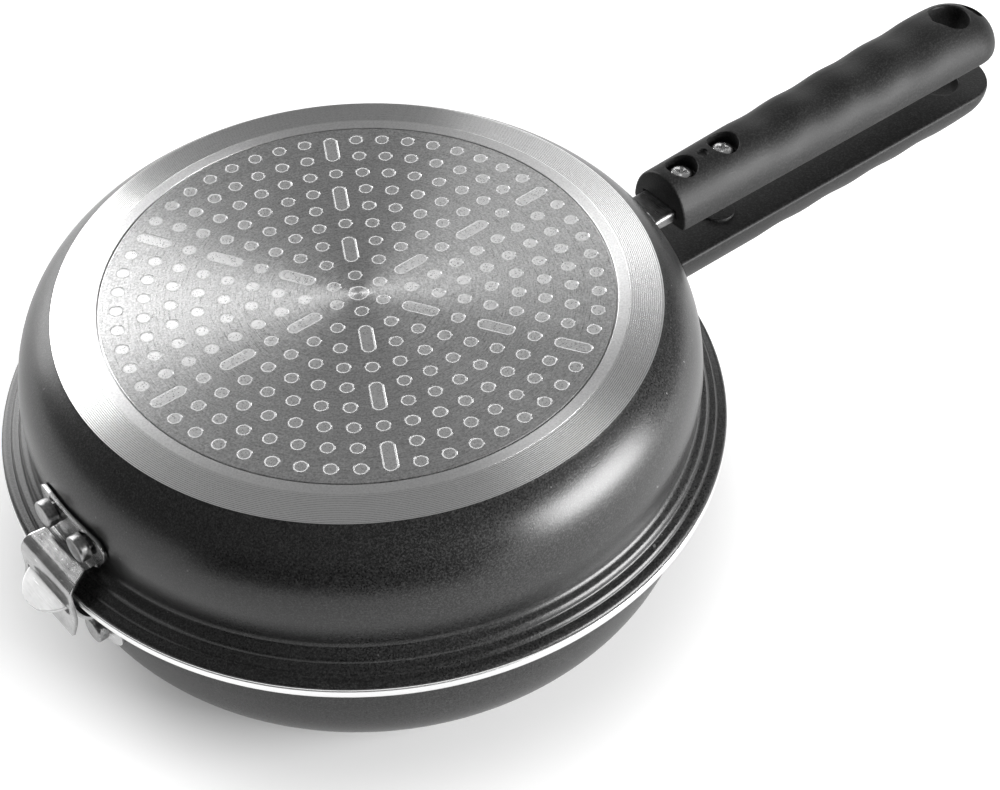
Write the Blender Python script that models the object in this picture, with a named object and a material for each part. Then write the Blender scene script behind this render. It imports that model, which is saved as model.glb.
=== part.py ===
# Hinged double frying pan. Two pans of the same size close rim to rim, so the food
# inside is turned by turning the whole pan over. A slotted hook on the upper pan
# hangs on a tongue on the lower one, and the two handles lie one above the other.
#
# Everything except the two hinge brackets is drawn once, for the lower pan. Heights
# there are drops below the plane where the rims meet. The upper pieces are the same
# shapes turned over about the X axis and carried by an empty on the hinge line.
import math

import bmesh
import bpy
from mathutils import Matrix, Vector

# Pan sizes in metres
RIM_RADIUS = 0.120
FLANGE_WIDTH = 0.009
SHOULDER_WIDTH = 0.014
BAND_WIDTH = 0.0105
FLAT_WIDTH = 0.0045
PAN_DEPTH = 0.0496
WALL_THICKNESS = 0.0022
BASE_THICKNESS = 0.0045
RIM_WIDTH = 0.0017
RIM_GAP = 0.0003
WIDEST_DROP = 0.0200
NECK_INSET = 0.0008
FLANGE_DEPTH = 0.0105
UPPER_LIP = 0.0010
LOWER_LIP = 0.0027
BAND_RISE = 0.00075

# Clearances and overruns
SEAT_GAP = 0.0003
CUT_OVERRUN = 0.004

# Perforated steel disc pressed into the base
DISC_EDGE = 0.002
DISC_THICKNESS = 0.0010
DOT_PITCH = 0.008475
DOT_DIAMETER = 0.0047
SLOT_LENGTH = 0.0125
SPOKE_COUNT = 6
SPOKE_FIRST_DOT = 1
SPOKE_FIRST_SLOT = 2.5
SPOKE_PERIOD = 3

# Rivets
RIVET_HEAD_RADIUS = 0.0045
RIVET_HEAD_LENGTH = 0.0036
RIVET_SHANK_RADIUS = 0.0024
RIVET_BACK_RADIUS = 0.0050
RIVET_BACK_LENGTH = 0.0015
RIVET_EDGE = 0.0005

# Hinge: pressed sheet, an upper hook with a slot and a lower arm with a tongue
SHEET = 0.0012
HINGE_PLATE_HALF_WIDTH = 0.0178
HINGE_PLATE_HEIGHT = 0.0139
FOOT_CLEARANCE = 0.0011
HINGE_RIVET_OFFSET = 0.0091
HINGE_RIVET_RISE = 0.0078
HOOK_REACH = 0.0034
HOOK_DROP = 0.0094
HOOK_SIDE = 0.0025
TONGUE_SIDE_GAP = 0.0008
HOOK_SLOT_TOP = 0.0011
HOOK_SLOT_BOTTOM = 0.0038
HOOK_SLOT_CORNER = 0.0016
ARM_REACH = 0.0021
ARM_CREST_DROP = 0.0014
ARM_INSET = 0.0005
TONGUE_RADIUS = 0.0112
TONGUE_REACH = 0.0110
TONGUE_FALL = 0.0019
HINGE_REACH = 0.0055
HINGE_DROP = 0.0065

# Handle bracket: a plate on the wall and a channel that runs into the handle
BRACKET_SHEET = 0.0015
BRACKET_PLATE_HALF_WIDTH = 0.0180
BRACKET_PLATE_HEIGHT = 0.0144
BRACKET_RIVET_OFFSET = 0.0110
BRACKET_RIVET_RISE = 0.0086
CHANNEL_HALF_WIDTH = 0.0082
CHANNEL_DROP = 0.0141
CHANNEL_FLANGE = 0.0040
CHANNEL_SETBACK = 0.0066
CHANNEL_LENGTH = 0.0374

# Handle: a D section with its flat face towards the other handle
HANDLE_STANDOFF = 0.0126
HANDLE_LENGTH = 0.1724
HANDLE_OFFSET = 0.0079
HANDLE_HEIGHT = 0.0176
HANDLE_FRONT_HALF_WIDTH = 0.0132
HANDLE_END_HALF_WIDTH = 0.0170
HANDLE_FLAT_CORNER = 0.0012
HANDLE_FRONT_EDGE = 0.0009
GRIP_WAVE_HEIGHT = 0.0005
GRIP_WAVE_START = 0.040
GRIP_WAVE_LENGTH = 0.025
GRIP_WAVE_COUNT = 4
TAIL_LENGTH = 0.037
SCREW_SETBACK = 0.0099
SCREW_SPACING = 0.0205
SCREW_WELL_RADIUS = 0.00525
SCREW_WELL_DEPTH = 0.0070
SCREW_HEAD_RADIUS = 0.0035
SCREW_HEAD_HEIGHT = 0.0026
SCREW_SHANK_RADIUS = 0.0020
SCREW_FLOOR = 0.0008
CROSS_HALF_WIDTH = 0.0005
CROSS_HALF_LENGTH = 0.0020
CROSS_DEPTH = 0.0012
BOSS_RADIUS = 0.0064
BOSS_HEIGHT = 0.0012
PIN_MARK_RADIUS = 0.0020
PIN_MARK_DEPTH = 0.0008
HANG_HOLE_RADIUS = 0.0074
HANG_HOLE_SETBACK = 0.0215
HANG_TIP_RADIUS = 0.0025
HANG_TIP_REACH = 0.0060
TAIL_MARK_SETBACK = 0.0095
TAIL_MARK_HALF_LENGTH = 0.0045
TAIL_MARK_HALF_WIDTH = 0.0024
TAIL_MARK_DEPTH = 0.0015

# Facet counts
PAN_SEGMENTS = 36
CURVE_STEPS = 5
ROUND_SEGMENTS = 10
WELL_SEGMENTS = 14
DOT_SEGMENTS = 6
SLOT_END_STEPS = 2
DOME_STEPS = 10
SHEET_COLUMNS = 6

# Shares of the shoulder's width and height, at the two inner points of its curve
SHOULDER_SHARES = ((0.60, 0.20), (0.97, 0.45))
INSIDE_SHOULDER_SHARES = ((0.60, 0.00), (1.00, 0.45))

# Stepped flange: share of the way out from the neck, share of the flange's depth
FLANGE_SHARES = (
    (0.00, 1.00),
    (0.02, 0.84),
    (0.10, 0.75),
    (0.27, 0.67),
    (0.34, 0.57),
    (0.36, 0.47),
    (0.45, 0.43),
    (0.59, 0.39),
    (0.65, 0.31),
    (0.67, 0.25),
    (0.86, 0.22),
    (0.96, 0.16),
)
INSIDE_FLANGE_SHARES = (
    (0.00, 0.95),
    (0.04, 0.72),
    (0.31, 0.53),
    (0.37, 0.41),
    (0.64, 0.28),
    (0.69, 0.17),
    (0.97, 0.06),
)

# Hinge plate: share of its height above its foot, share of its half width
HINGE_PLATE_SHARES = ((1.00, 0.39), (0.93, 0.62), (0.75, 0.87), (0.46, 1.00), (0.17, 0.955), (0.00, 0.79))

# Hook above the rims: share of the way out, share of the foot's drop, share of the half width
HOOK_TOP_SHARES = (
    (0.01, 0.93, 0.76),
    (0.06, 0.885, 0.76),
    (0.15, 0.92, 0.77),
    (0.25, 0.965, 0.79),
    (0.49, 0.91, 0.86),
    (0.72, 0.835, 0.92),
    (0.93, 0.64, 0.95),
    (1.00, 0.38, 0.98),
    (1.00, 0.00, 1.00),
)
# Hook below the rims: share of the way out, share of the hook's drop, share of the half width
HOOK_BOTTOM_SHARES = ((1.00, 0.38, 1.00), (1.045, 0.64, 1.00), (1.165, 1.00, 1.00))

# Arm of the tongue: share of the way out, share of the foot's drop, share of the half width
ARM_SHARES = (
    (0.02, 0.945, 1.06),
    (0.10, 0.905, 1.02),
    (0.28, 0.945, 1.01),
    (0.59, 0.815, 1.00),
    (0.81, 0.575, 0.99),
    (0.94, 0.32, 0.99),
    (0.965, 0.17, 0.99),
)
TONGUE_STEP_SHARES = (0.10, 0.30, 0.52, 0.72, 0.87, 0.96)

# Handle bracket plate, as the hinge plate's table
BRACKET_PLATE_SHARES = ((1.00, 0.50), (0.90, 0.83), (0.60, 1.00), (0.25, 1.00), (0.00, 0.90))
# Neck of the bracket: share of the way out to the channel, share of the way from the
# plate's foot down to the channel, share of the way from plate width to channel width
NECK_SHARES = ((0.02, -0.36, 0.10), (0.09, -0.54, 0.25), (0.25, -0.42, 0.55), (0.55, 0.15, 0.85), (0.85, 0.80, 1.0))
CHANNEL_COLUMN_SHARE = 0.65

# Handle's tail: shares of its length where sections are taken, and the fall of its crest
TAIL_SHARES = (0.14, 0.28, 0.42, 0.54, 0.66, 0.77, 0.86, 0.93, 0.975, 0.997)
TAIL_FALL_POWER = 2.6

WALL_RADIUS = RIM_RADIUS - FLANGE_WIDTH
BASE_RADIUS = WALL_RADIUS - SHOULDER_WIDTH
FLAT_RADIUS = BASE_RADIUS - BAND_WIDTH
DISC_RADIUS = FLAT_RADIUS - FLAT_WIDTH
HOOK_SLOT_HALF_WIDTH = TONGUE_RADIUS + TONGUE_SIDE_GAP
HOOK_HALF_WIDTH = HOOK_SLOT_HALF_WIDTH + HOOK_SIDE
ARM_HALF_WIDTH = TONGUE_RADIUS - ARM_INSET
RIM_DROP = RIM_GAP / 2
TOTAL_HEIGHT = 2 * PAN_DEPTH
LIP_DIFFERENCE = LOWER_LIP - UPPER_LIP
FLIP = Matrix.Translation((0, 0, TOTAL_HEIGHT)) @ Matrix.Rotation(math.pi, 4, "X")
HINGE_POINT = Vector((-RIM_RADIUS - HINGE_REACH, 0, PAN_DEPTH - HINGE_DROP))
HANDLE_START = RIM_RADIUS + HANDLE_STANDOFF
HANDLE_END = HANDLE_START + HANDLE_LENGTH
CREST_DROP = HANDLE_OFFSET + HANDLE_HEIGHT


def remove_all_objects():
    for item in list(bpy.data.objects):
        bpy.data.objects.remove(item, do_unlink=True)


def material(name, colour, roughness, metallic):
    finish = bpy.data.materials.new(name)
    finish.use_nodes = True
    shader = finish.node_tree.nodes["Principled BSDF"]
    shader.inputs["Base Color"].default_value = (*colour, 1.0)
    shader.inputs["Roughness"].default_value = roughness
    shader.inputs["Metallic"].default_value = metallic
    finish.diffuse_color = (*colour, 1.0)
    return finish


# Outlines


def curve_points(start, first, second, end, steps):
    """Points of a cubic curve after its start, up to and including its end."""
    points = []
    for step in range(1, steps + 1):
        t = step / steps
        s = 1 - t
        weights = (s ** 3, 3 * s * s * t, 3 * s * t * t, t ** 3)
        points.append(
            tuple(
                sum(weight * point[axis] for weight, point in zip(weights, (start, first, second, end)))
                for axis in (0, 1)
            )
        )
    return points


def shoulder(start, end, shares, steps):
    """The rounded corner from a pan's base up its wall."""
    width = end[0] - start[0]
    height = end[1] - start[1]
    inner = [(start[0] + across * width, start[1] + up * height) for across, up in shares]
    return curve_points(start, inner[0], inner[1], end, steps)


def arc(centre, radius, first, last, steps):
    """Points on an arc, with both ends."""
    points = []
    for step in range(steps + 1):
        angle = first + (last - first) * step / steps
        points.append((centre[0] + radius * math.cos(angle), centre[1] + radius * math.sin(angle)))
    return points


def rounded_slot(half_length, half_width, corner, steps):
    """A rounded rectangle about the origin, counter-clockwise."""
    points = []
    quarter = math.pi / 2
    corners = ((1, 1), (-1, 1), (-1, -1), (1, -1))
    for index, (side, end) in enumerate(corners):
        centre = (side * (half_length - corner), end * (half_width - corner))
        points += arc(centre, corner, index * quarter, (index + 1) * quarter, steps)
    return points


def merged(outline):
    """The outline without points that repeat the one before."""
    pairs = zip(outline, outline[-1:] + outline[:-1])
    return [point for point, before in pairs if math.dist(point, before) > SEAT_GAP / 100]


def teardrop(radius, tip_radius, reach, steps):
    """Round at the origin, with a smaller round point at -X."""
    side = math.acos((tip_radius - radius) / reach)
    big = arc((0, 0), radius, -side, side, steps)
    small = arc((-reach, 0), tip_radius, side, 2 * math.pi - side, steps // 2)
    return big + small


# Solids


def mesh_from(bm, name):
    mesh = bpy.data.meshes.new(name)
    bm.to_mesh(mesh)
    bm.free()
    return mesh


def turned(name, profile, segments):
    """A solid of revolution about Z from a half section whose two ends are on the axis."""
    bm = bmesh.new()
    ring = [bm.verts.new((radius, 0, height)) for radius, height in profile]
    edges = [bm.edges.new(pair) for pair in zip(ring, ring[1:])]
    bmesh.ops.spin(
        bm,
        geom=ring + edges,
        cent=(0, 0, 0),
        axis=(0, 0, 1),
        angle=2 * math.pi,
        steps=segments,
        use_merge=True,
        use_duplicate=False,
    )
    poles = [vertex for vertex in bm.verts if vertex.co.xy.length < SEAT_GAP / 100]
    bmesh.ops.remove_doubles(bm, verts=poles, dist=SEAT_GAP / 100)
    bmesh.ops.recalc_face_normals(bm, faces=bm.faces)
    return mesh_from(bm, name)


def prism(name, outline, bottom, top):
    """A straight solid along Z from a flat outline."""
    bm = bmesh.new()
    corners = [bm.verts.new((across, along, bottom)) for across, along in outline]
    face = bm.faces.new(corners)
    grown = bmesh.ops.extrude_face_region(bm, geom=[face])["geom"]
    lifted = [item for item in grown if isinstance(item, bmesh.types.BMVert)]
    bmesh.ops.translate(bm, verts=lifted, vec=(0, 0, top - bottom))
    bmesh.ops.recalc_face_normals(bm, faces=bm.faces)
    return mesh_from(bm, name)


def round_bar(name, radius, bottom, top, segments):
    """A bar whose flats touch the circle, with its corners half a facet away from the axes."""
    half_facet = math.pi / segments
    reach = radius / math.cos(half_facet)
    outline = arc((0, 0), reach, half_facet, 2 * math.pi + half_facet, segments)[:-1]
    return prism(name, outline, bottom, top)


def lofted(name, rings):
    """A closed solid through rings that have the same number of points."""
    bm = bmesh.new()
    rows = [[bm.verts.new(point) for point in ring] for ring in rings]
    for row, following in zip(rows, rows[1:]):
        for index in range(len(row)):
            after = (index + 1) % len(row)
            bm.faces.new((row[index], row[after], following[after], following[index]))
    bm.faces.new(rows[0])
    bm.faces.new(rows[-1])
    bmesh.ops.recalc_face_normals(bm, faces=bm.faces)
    return mesh_from(bm, name)


def guide(name, mesh, matrix=None):
    """A hidden shape that cuts or joins another."""
    item = bpy.data.objects.new(name, mesh)
    item.matrix_world = matrix or Matrix()
    item.hide_render = True
    item.display_type = "WIRE"
    bpy.context.collection.objects.link(item)
    return item


def combine(mesh, steps, thickness=None):
    """The mesh after a wall thickness and a list of (operation, guide) steps."""
    blank = bpy.data.objects.new("blank", mesh)
    bpy.context.collection.objects.link(blank)
    if thickness:
        wall = blank.modifiers.new("wall", "SOLIDIFY")
        wall.thickness = thickness
        wall.offset = -1
        wall.use_even_offset = True
    for operation, other in steps:
        cut = blank.modifiers.new(other.name, "BOOLEAN")
        cut.operation = operation
        cut.object = other
        cut.solver = "EXACT"
    bpy.context.view_layer.update()
    shaped = blank.evaluated_get(bpy.context.evaluated_depsgraph_get())
    finished = bpy.data.meshes.new_from_object(shaped)
    finished.name = mesh.name
    for item in [blank] + [other for _, other in steps]:
        bpy.data.objects.remove(item, do_unlink=True)
    return finished


def smooth(mesh, degrees):
    mesh.shade_smooth()
    mesh.set_sharp_from_angle(angle=math.radians(degrees))


def along_x(x, y, drop, outward):
    """A turned piece's own +Z laid along +X or -X, at a drop below the rims."""
    turn = Matrix.Rotation(math.copysign(math.pi / 2, outward), 4, "Y")
    return Matrix.Translation((x, y, PAN_DEPTH - drop)) @ turn


def upside_down(x, drop):
    """A turned piece's own +Z pointing down, at a drop below the rims."""
    return Matrix.Translation((x, 0, PAN_DEPTH - drop)) @ Matrix.Rotation(math.pi, 4, "X")


# Pans


def pan_profile(lip):
    """Half section of a pan from the recess under its base round to its cooking face."""
    recess = DISC_THICKNESS + SEAT_GAP
    recess_radius = DISC_RADIUS + SEAT_GAP
    extra = lip - UPPER_LIP
    neck = WALL_RADIUS - NECK_INSET
    widest = PAN_DEPTH - WIDEST_DROP
    points = [(0, recess), (recess_radius, recess), (recess_radius, 0), (FLAT_RADIUS, 0)]
    points.append((BASE_RADIUS, BAND_RISE))
    points += shoulder(points[-1], (WALL_RADIUS, widest), SHOULDER_SHARES, CURVE_STEPS)
    for out, deep in FLANGE_SHARES:
        points.append((neck + out * (RIM_RADIUS - neck), PAN_DEPTH - deep * FLANGE_DEPTH - extra))
    points.append((RIM_RADIUS, PAN_DEPTH - lip))
    points.append((RIM_RADIUS, PAN_DEPTH - RIM_DROP))
    inside = [(0, BASE_THICKNESS), (BASE_RADIUS - BASE_THICKNESS + WALL_THICKNESS, BASE_THICKNESS)]
    inside_wall = WALL_RADIUS - WALL_THICKNESS
    inside += shoulder(inside[-1], (inside_wall, widest), INSIDE_SHOULDER_SHARES, CURVE_STEPS)
    inside_neck = neck - WALL_THICKNESS
    inside_rim = RIM_RADIUS - RIM_WIDTH
    for out, deep in INSIDE_FLANGE_SHARES:
        across = inside_neck + out * (inside_rim - inside_neck)
        inside.append((across, PAN_DEPTH - deep * FLANGE_DEPTH - extra * deep))
    inside.append((inside_rim, PAN_DEPTH - RIM_DROP))
    return points + inside[::-1]


def rivet_places():
    """Side of the pan, offset across and drop for each of a pan's four rivets, by name."""
    hinge_drop = FLANGE_DEPTH + FOOT_CLEARANCE + HINGE_RIVET_RISE
    bracket_drop = FLANGE_DEPTH + FOOT_CLEARANCE + BRACKET_RIVET_RISE
    return {
        "hinge_rivet_a": (-1, HINGE_RIVET_OFFSET, hinge_drop, SHEET),
        "hinge_rivet_b": (-1, -HINGE_RIVET_OFFSET, hinge_drop, SHEET),
        "bracket_rivet_a": (1, BRACKET_RIVET_OFFSET, bracket_drop, BRACKET_SHEET),
        "bracket_rivet_b": (1, -BRACKET_RIVET_OFFSET, bracket_drop, BRACKET_SHEET),
    }


def rivet_seat(offset, sheet):
    """Distance from the pan's middle to the flat under a rivet's outer head."""
    face = WALL_RADIUS + SEAT_GAP + sheet
    near = max(abs(offset) - RIVET_HEAD_RADIUS, 0)
    return math.sqrt(face ** 2 - near ** 2) + SEAT_GAP


def rivet_back(offset):
    """Distance from the pan's middle to the flat under a rivet's inner head, clear of every facet."""
    face = (WALL_RADIUS - NECK_INSET - WALL_THICKNESS) * math.cos(math.pi / PAN_SEGMENTS)
    far = abs(offset) + RIVET_BACK_RADIUS
    return math.sqrt(face ** 2 - far ** 2) - SEAT_GAP


def pan_mesh(name, lip):
    blank = turned(name, pan_profile(lip), PAN_SEGMENTS)
    hole = RIVET_SHANK_RADIUS + SEAT_GAP
    steps = []
    for label, (side, offset, drop, sheet) in rivet_places().items():
        start = rivet_back(offset) - CUT_OVERRUN
        end = rivet_seat(offset, sheet) + CUT_OVERRUN
        bar = round_bar("hole_" + label, hole, start, end, ROUND_SEGMENTS)
        steps.append(("DIFFERENCE", guide("hole_" + label, bar, along_x(0, offset, drop, side))))
    finished = combine(blank, steps)
    smooth(finished, 25)
    return finished


# Perforated disc


def spoke_shapes():
    """Steps out from the middle and outlines of one spoke: a dot and a slot in turn, up to the edge."""
    half_width = DOT_DIAMETER / 2
    dot = arc((0, 0), half_width, 0, 2 * math.pi, DOT_SEGMENTS)[:-1]
    slot = merged(rounded_slot(SLOT_LENGTH / 2, half_width, half_width, SLOT_END_STEPS))
    shapes = []
    for step, reach, shape in (
        (SPOKE_FIRST_DOT, half_width, dot),
        (SPOKE_FIRST_SLOT, SLOT_LENGTH / 2, slot),
    ):
        while step * DOT_PITCH + reach < DISC_RADIUS - DISC_EDGE:
            shapes.append((step, shape))
            step += SPOKE_PERIOD
    return shapes


def disc_mesh():
    """A disc with slots and dots along six spokes."""
    bm = bmesh.new()
    loops = [arc((0, 0), DISC_RADIUS, 0, 2 * math.pi, PAN_SEGMENTS)[:-1]]
    for spoke in range(SPOKE_COUNT):
        turn = Matrix.Rotation(2 * math.pi * spoke / SPOKE_COUNT, 2)
        for step, shape in spoke_shapes():
            moved = [Vector((x + step * DOT_PITCH, y)) for x, y in shape]
            loops.append([turn @ point for point in moved])
    for loop in loops:
        corners = [bm.verts.new((point[0], point[1], 0)) for point in loop]
        for index, corner in enumerate(corners):
            bm.edges.new((corners[index - 1], corner))
    bmesh.ops.triangle_fill(bm, use_beauty=True, edges=bm.edges, normal=(0, 0, 1))
    grown = bmesh.ops.extrude_face_region(bm, geom=bm.faces)["geom"]
    lifted = [item for item in grown if isinstance(item, bmesh.types.BMVert)]
    bmesh.ops.translate(bm, verts=lifted, vec=(0, 0, DISC_THICKNESS))
    bmesh.ops.recalc_face_normals(bm, faces=bm.faces)
    return mesh_from(bm, "induction_disc")


# Rivets and screws


def rivet_mesh(name, offset, sheet):
    """A solid rivet through the bracket and the pan's wall, its own +Z pointing outwards."""
    seat = rivet_seat(offset, sheet)
    back = rivet_back(offset)
    profile = [
        (0, back - RIVET_BACK_LENGTH),
        (RIVET_BACK_RADIUS - RIVET_BACK_LENGTH, back - RIVET_BACK_LENGTH),
        (RIVET_BACK_RADIUS, back),
        (RIVET_SHANK_RADIUS, back),
        (RIVET_SHANK_RADIUS, seat),
        (RIVET_HEAD_RADIUS, seat),
        (RIVET_HEAD_RADIUS, seat + RIVET_HEAD_LENGTH - RIVET_EDGE),
        (RIVET_HEAD_RADIUS - RIVET_EDGE, seat + RIVET_HEAD_LENGTH),
        (0, seat + RIVET_HEAD_LENGTH),
    ]
    mesh = turned(name, profile, ROUND_SEGMENTS)
    smooth(mesh, 40)
    return mesh


def screw_mesh():
    """A cross-head screw, its own +Z pointing out of its head and zero under the head."""
    length = CREST_DROP - SCREW_WELL_DEPTH - SEAT_GAP - HANDLE_OFFSET - SCREW_FLOOR - SEAT_GAP
    profile = [
        (0, -length),
        (SCREW_SHANK_RADIUS, -length),
        (SCREW_SHANK_RADIUS, 0),
        (SCREW_HEAD_RADIUS, 0),
        (SCREW_HEAD_RADIUS, SCREW_HEAD_HEIGHT / 2),
        (SCREW_HEAD_RADIUS - SCREW_HEAD_HEIGHT / 3, SCREW_HEAD_HEIGHT),
        (0, SCREW_HEAD_HEIGHT),
    ]
    blank = turned("handle_screw", profile, ROUND_SEGMENTS)
    outline = []
    for quarter in range(4):
        turn = Matrix.Rotation(quarter * math.pi / 2, 2)
        for x, y in (
            (CROSS_HALF_LENGTH, -CROSS_HALF_WIDTH),
            (CROSS_HALF_LENGTH, CROSS_HALF_WIDTH),
            (CROSS_HALF_WIDTH, CROSS_HALF_WIDTH),
        ):
            outline.append(turn @ Vector((x, y)))
    cross = prism("cross", outline, SCREW_HEAD_HEIGHT - CROSS_DEPTH, SCREW_HEAD_HEIGHT + CUT_OVERRUN)
    finished = combine(blank, [("DIFFERENCE", guide("cross", cross))])
    smooth(finished, 40)
    return finished


# Pressed sheet brackets


def sheet_mesh(name, rows, columns, side):
    """A sheet's outer face, as a grid. A row is (distance from the pan's middle, drop, half
    width, share that follows the wall, share folded down at the sides, depth of that fold).
    """
    bm = bmesh.new()
    grid = []
    for distance, drop, half_width, follow, fold, flange in rows:
        line = []
        for share in columns:
            reach = abs(share)
            spread = min(reach / CHANNEL_COLUMN_SHARE, 1)
            turned_in = max(reach - CHANNEL_COLUMN_SHARE, 0) / (1 - CHANNEL_COLUMN_SHARE)
            y = math.copysign(half_width * ((1 - fold) * reach + fold * spread), share)
            round_x = math.sqrt(max(distance ** 2 - y ** 2, 0))
            x = follow * round_x + (1 - follow) * distance
            line.append(bm.verts.new((side * x, y, PAN_DEPTH - drop + flange * turned_in)))
        grid.append(line)
    for line, following in zip(grid, grid[1:]):
        for index in range(len(line) - 1):
            corners = (line[index], line[index + 1], following[index + 1], following[index])
            bm.faces.new(corners if side > 0 else corners[::-1])
    return mesh_from(bm, name)


def even_columns():
    return [2 * index / SHEET_COLUMNS - 1 for index in range(SHEET_COLUMNS + 1)]


def plate_rows(shares, foot, height, half_width, face):
    return [(face, foot + up * height, wide * half_width, 1, 0, 0) for up, wide in shares]


def rivet_holes(kind):
    """Cutters for the rivet holes in a bracket's plate."""
    hole = RIVET_SHANK_RADIUS + SEAT_GAP
    steps = []
    for label, (side, offset, drop, sheet) in rivet_places().items():
        if not label.startswith(kind):
            continue
        start = rivet_seat(offset, sheet) - CUT_OVERRUN
        end = rivet_seat(offset, sheet) + CUT_OVERRUN
        bar = round_bar("hole_" + label, hole, start, end, ROUND_SEGMENTS)
        steps.append(("DIFFERENCE", guide("hole_" + label, bar, along_x(0, offset, drop, side))))
    return steps


def hook_mesh():
    """Upper hinge bracket: down the wall, over the stepped rims and down past them, with a slot."""
    face = WALL_RADIUS + SEAT_GAP + SHEET
    foot = FLANGE_DEPTH + FOOT_CLEARANCE
    out = RIM_RADIUS + HOOK_REACH - face
    rows = plate_rows(HINGE_PLATE_SHARES, foot, HINGE_PLATE_HEIGHT, HINGE_PLATE_HALF_WIDTH, face)
    for index, (reach, deep, wide) in enumerate(HOOK_TOP_SHARES):
        follow = max(0, 1 - (index + 1) / 3)
        drop = HOOK_SLOT_TOP + deep * (foot - HOOK_SLOT_TOP)
        rows.append((face + reach * out, drop, wide * HOOK_HALF_WIDTH, follow, 0, 0))
    for reach, deep, wide in HOOK_BOTTOM_SHARES:
        rows.append((face + reach * out, -deep * HOOK_DROP, wide * HOOK_HALF_WIDTH, 0, 0, 0))
    blank = sheet_mesh("hinge_hook", rows, even_columns(), -1)
    height = HOOK_SLOT_TOP + HOOK_SLOT_BOTTOM
    outline = rounded_slot(height / 2, HOOK_SLOT_HALF_WIDTH, HOOK_SLOT_CORNER, SLOT_END_STEPS)
    start = RIM_RADIUS + HOOK_REACH - SHEET - SHEET
    bar = prism("hook_slot", outline, start, start + CUT_OVERRUN + SHEET)
    place = along_x(0, 0, (HOOK_SLOT_TOP - HOOK_SLOT_BOTTOM) / 2, -1)
    steps = rivet_holes("hinge") + [("DIFFERENCE", guide("hook_slot", bar, place))]
    finished = combine(blank, steps, SHEET)
    smooth(finished, 50)
    return finished


def tongue_mesh():
    """Lower hinge bracket: up the wall, out under the rim and over into a round tongue."""
    face = WALL_RADIUS + SEAT_GAP + SHEET
    foot = FLANGE_DEPTH + LIP_DIFFERENCE + FOOT_CLEARANCE
    crest = RIM_RADIUS + ARM_REACH
    plate_height = HINGE_PLATE_HEIGHT - LIP_DIFFERENCE
    rows = plate_rows(HINGE_PLATE_SHARES, foot, plate_height, HINGE_PLATE_HALF_WIDTH, face)
    for index, (reach, deep, wide) in enumerate(ARM_SHARES):
        follow = max(0, 1 - (index + 1) / 3)
        rows.append((face + reach * (crest - face), deep * foot, wide * ARM_HALF_WIDTH, follow, 0, 0))
    rows.append((crest, ARM_CREST_DROP, ARM_HALF_WIDTH, 0, 0, 0))
    tip = RIM_RADIUS + TONGUE_REACH
    middle = tip - TONGUE_RADIUS
    for share in TONGUE_STEP_SHARES:
        x = crest + share * (tip - crest)
        half_width = math.sqrt(TONGUE_RADIUS ** 2 - (x - middle) ** 2)
        rows.append((x, ARM_CREST_DROP + share * TONGUE_FALL, half_width, 0, 0, 0))
    blank = sheet_mesh("hinge_tongue", rows, even_columns(), -1)
    finished = combine(blank, rivet_holes("hinge"), SHEET)
    smooth(finished, 50)
    return finished


def screw_places():
    first = HANDLE_START + SCREW_SETBACK
    return {"handle_screw_front": first, "handle_screw_rear": first + SCREW_SPACING}


def bracket_mesh():
    """Handle bracket: a plate on the wall that narrows into a channel inside the handle."""
    face = WALL_RADIUS + SEAT_GAP + BRACKET_SHEET
    foot = FLANGE_DEPTH + LIP_DIFFERENCE + FOOT_CLEARANCE
    plate_height = BRACKET_PLATE_HEIGHT - LIP_DIFFERENCE
    rows = plate_rows(BRACKET_PLATE_SHARES, foot, plate_height, BRACKET_PLATE_HALF_WIDTH, face)
    foot_half_width = rows[-1][2]
    start = HANDLE_START - CHANNEL_SETBACK
    for reach, deep, narrow in NECK_SHARES:
        half_width = foot_half_width + narrow * (CHANNEL_HALF_WIDTH - foot_half_width)
        drop = foot + deep * (CHANNEL_DROP - foot)
        rows.append((face + reach * (start - face), drop, half_width, 0, narrow, reach * CHANNEL_FLANGE))
    end = HANDLE_START + CHANNEL_LENGTH
    for distance in (start, (start + end) / 2, end):
        rows.append((distance, CHANNEL_DROP, CHANNEL_HALF_WIDTH, 0, 1, CHANNEL_FLANGE))
    side = CHANNEL_COLUMN_SHARE
    columns = (-1, -(1 + side) / 2, -side, -side / 2, 0, side / 2, side, (1 + side) / 2, 1)
    blank = sheet_mesh("handle_bracket", rows, columns, 1)
    steps = rivet_holes("bracket")
    hole = SCREW_SHANK_RADIUS + SEAT_GAP
    for label, x in screw_places().items():
        bar = round_bar("hole_" + label, hole, -CUT_OVERRUN, CUT_OVERRUN, ROUND_SEGMENTS)
        steps.append(("DIFFERENCE", guide("hole_" + label, bar, upside_down(x, CHANNEL_DROP))))
    finished = combine(blank, steps, BRACKET_SHEET)
    smooth(finished, 50)
    return finished


# Handle


def handle_section(x, half_width, height):
    """One D section: a flat with small corners, and half an ellipse."""
    corner = min(HANDLE_FLAT_CORNER, half_width / 3, height / 3)
    flat = PAN_DEPTH - HANDLE_OFFSET
    ring = [(x, half_width - corner, flat)]
    for step in range(DOME_STEPS + 1):
        angle = math.pi * step / DOME_STEPS
        fall = corner + (height - corner) * math.sin(angle)
        ring.append((x, half_width * math.cos(angle), flat - fall))
    ring.append((x, corner - half_width, flat))
    return ring


def handle_half_width(x):
    """Straight taper, then the half circle of the tail."""
    round_start = HANDLE_END - HANDLE_END_HALF_WIDTH
    if x > round_start:
        return math.sqrt(HANDLE_END_HALF_WIDTH ** 2 - (x - round_start) ** 2)
    share = (x - HANDLE_START) / (round_start - HANDLE_START)
    return HANDLE_FRONT_HALF_WIDTH + share * (HANDLE_END_HALF_WIDTH - HANDLE_FRONT_HALF_WIDTH)


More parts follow.
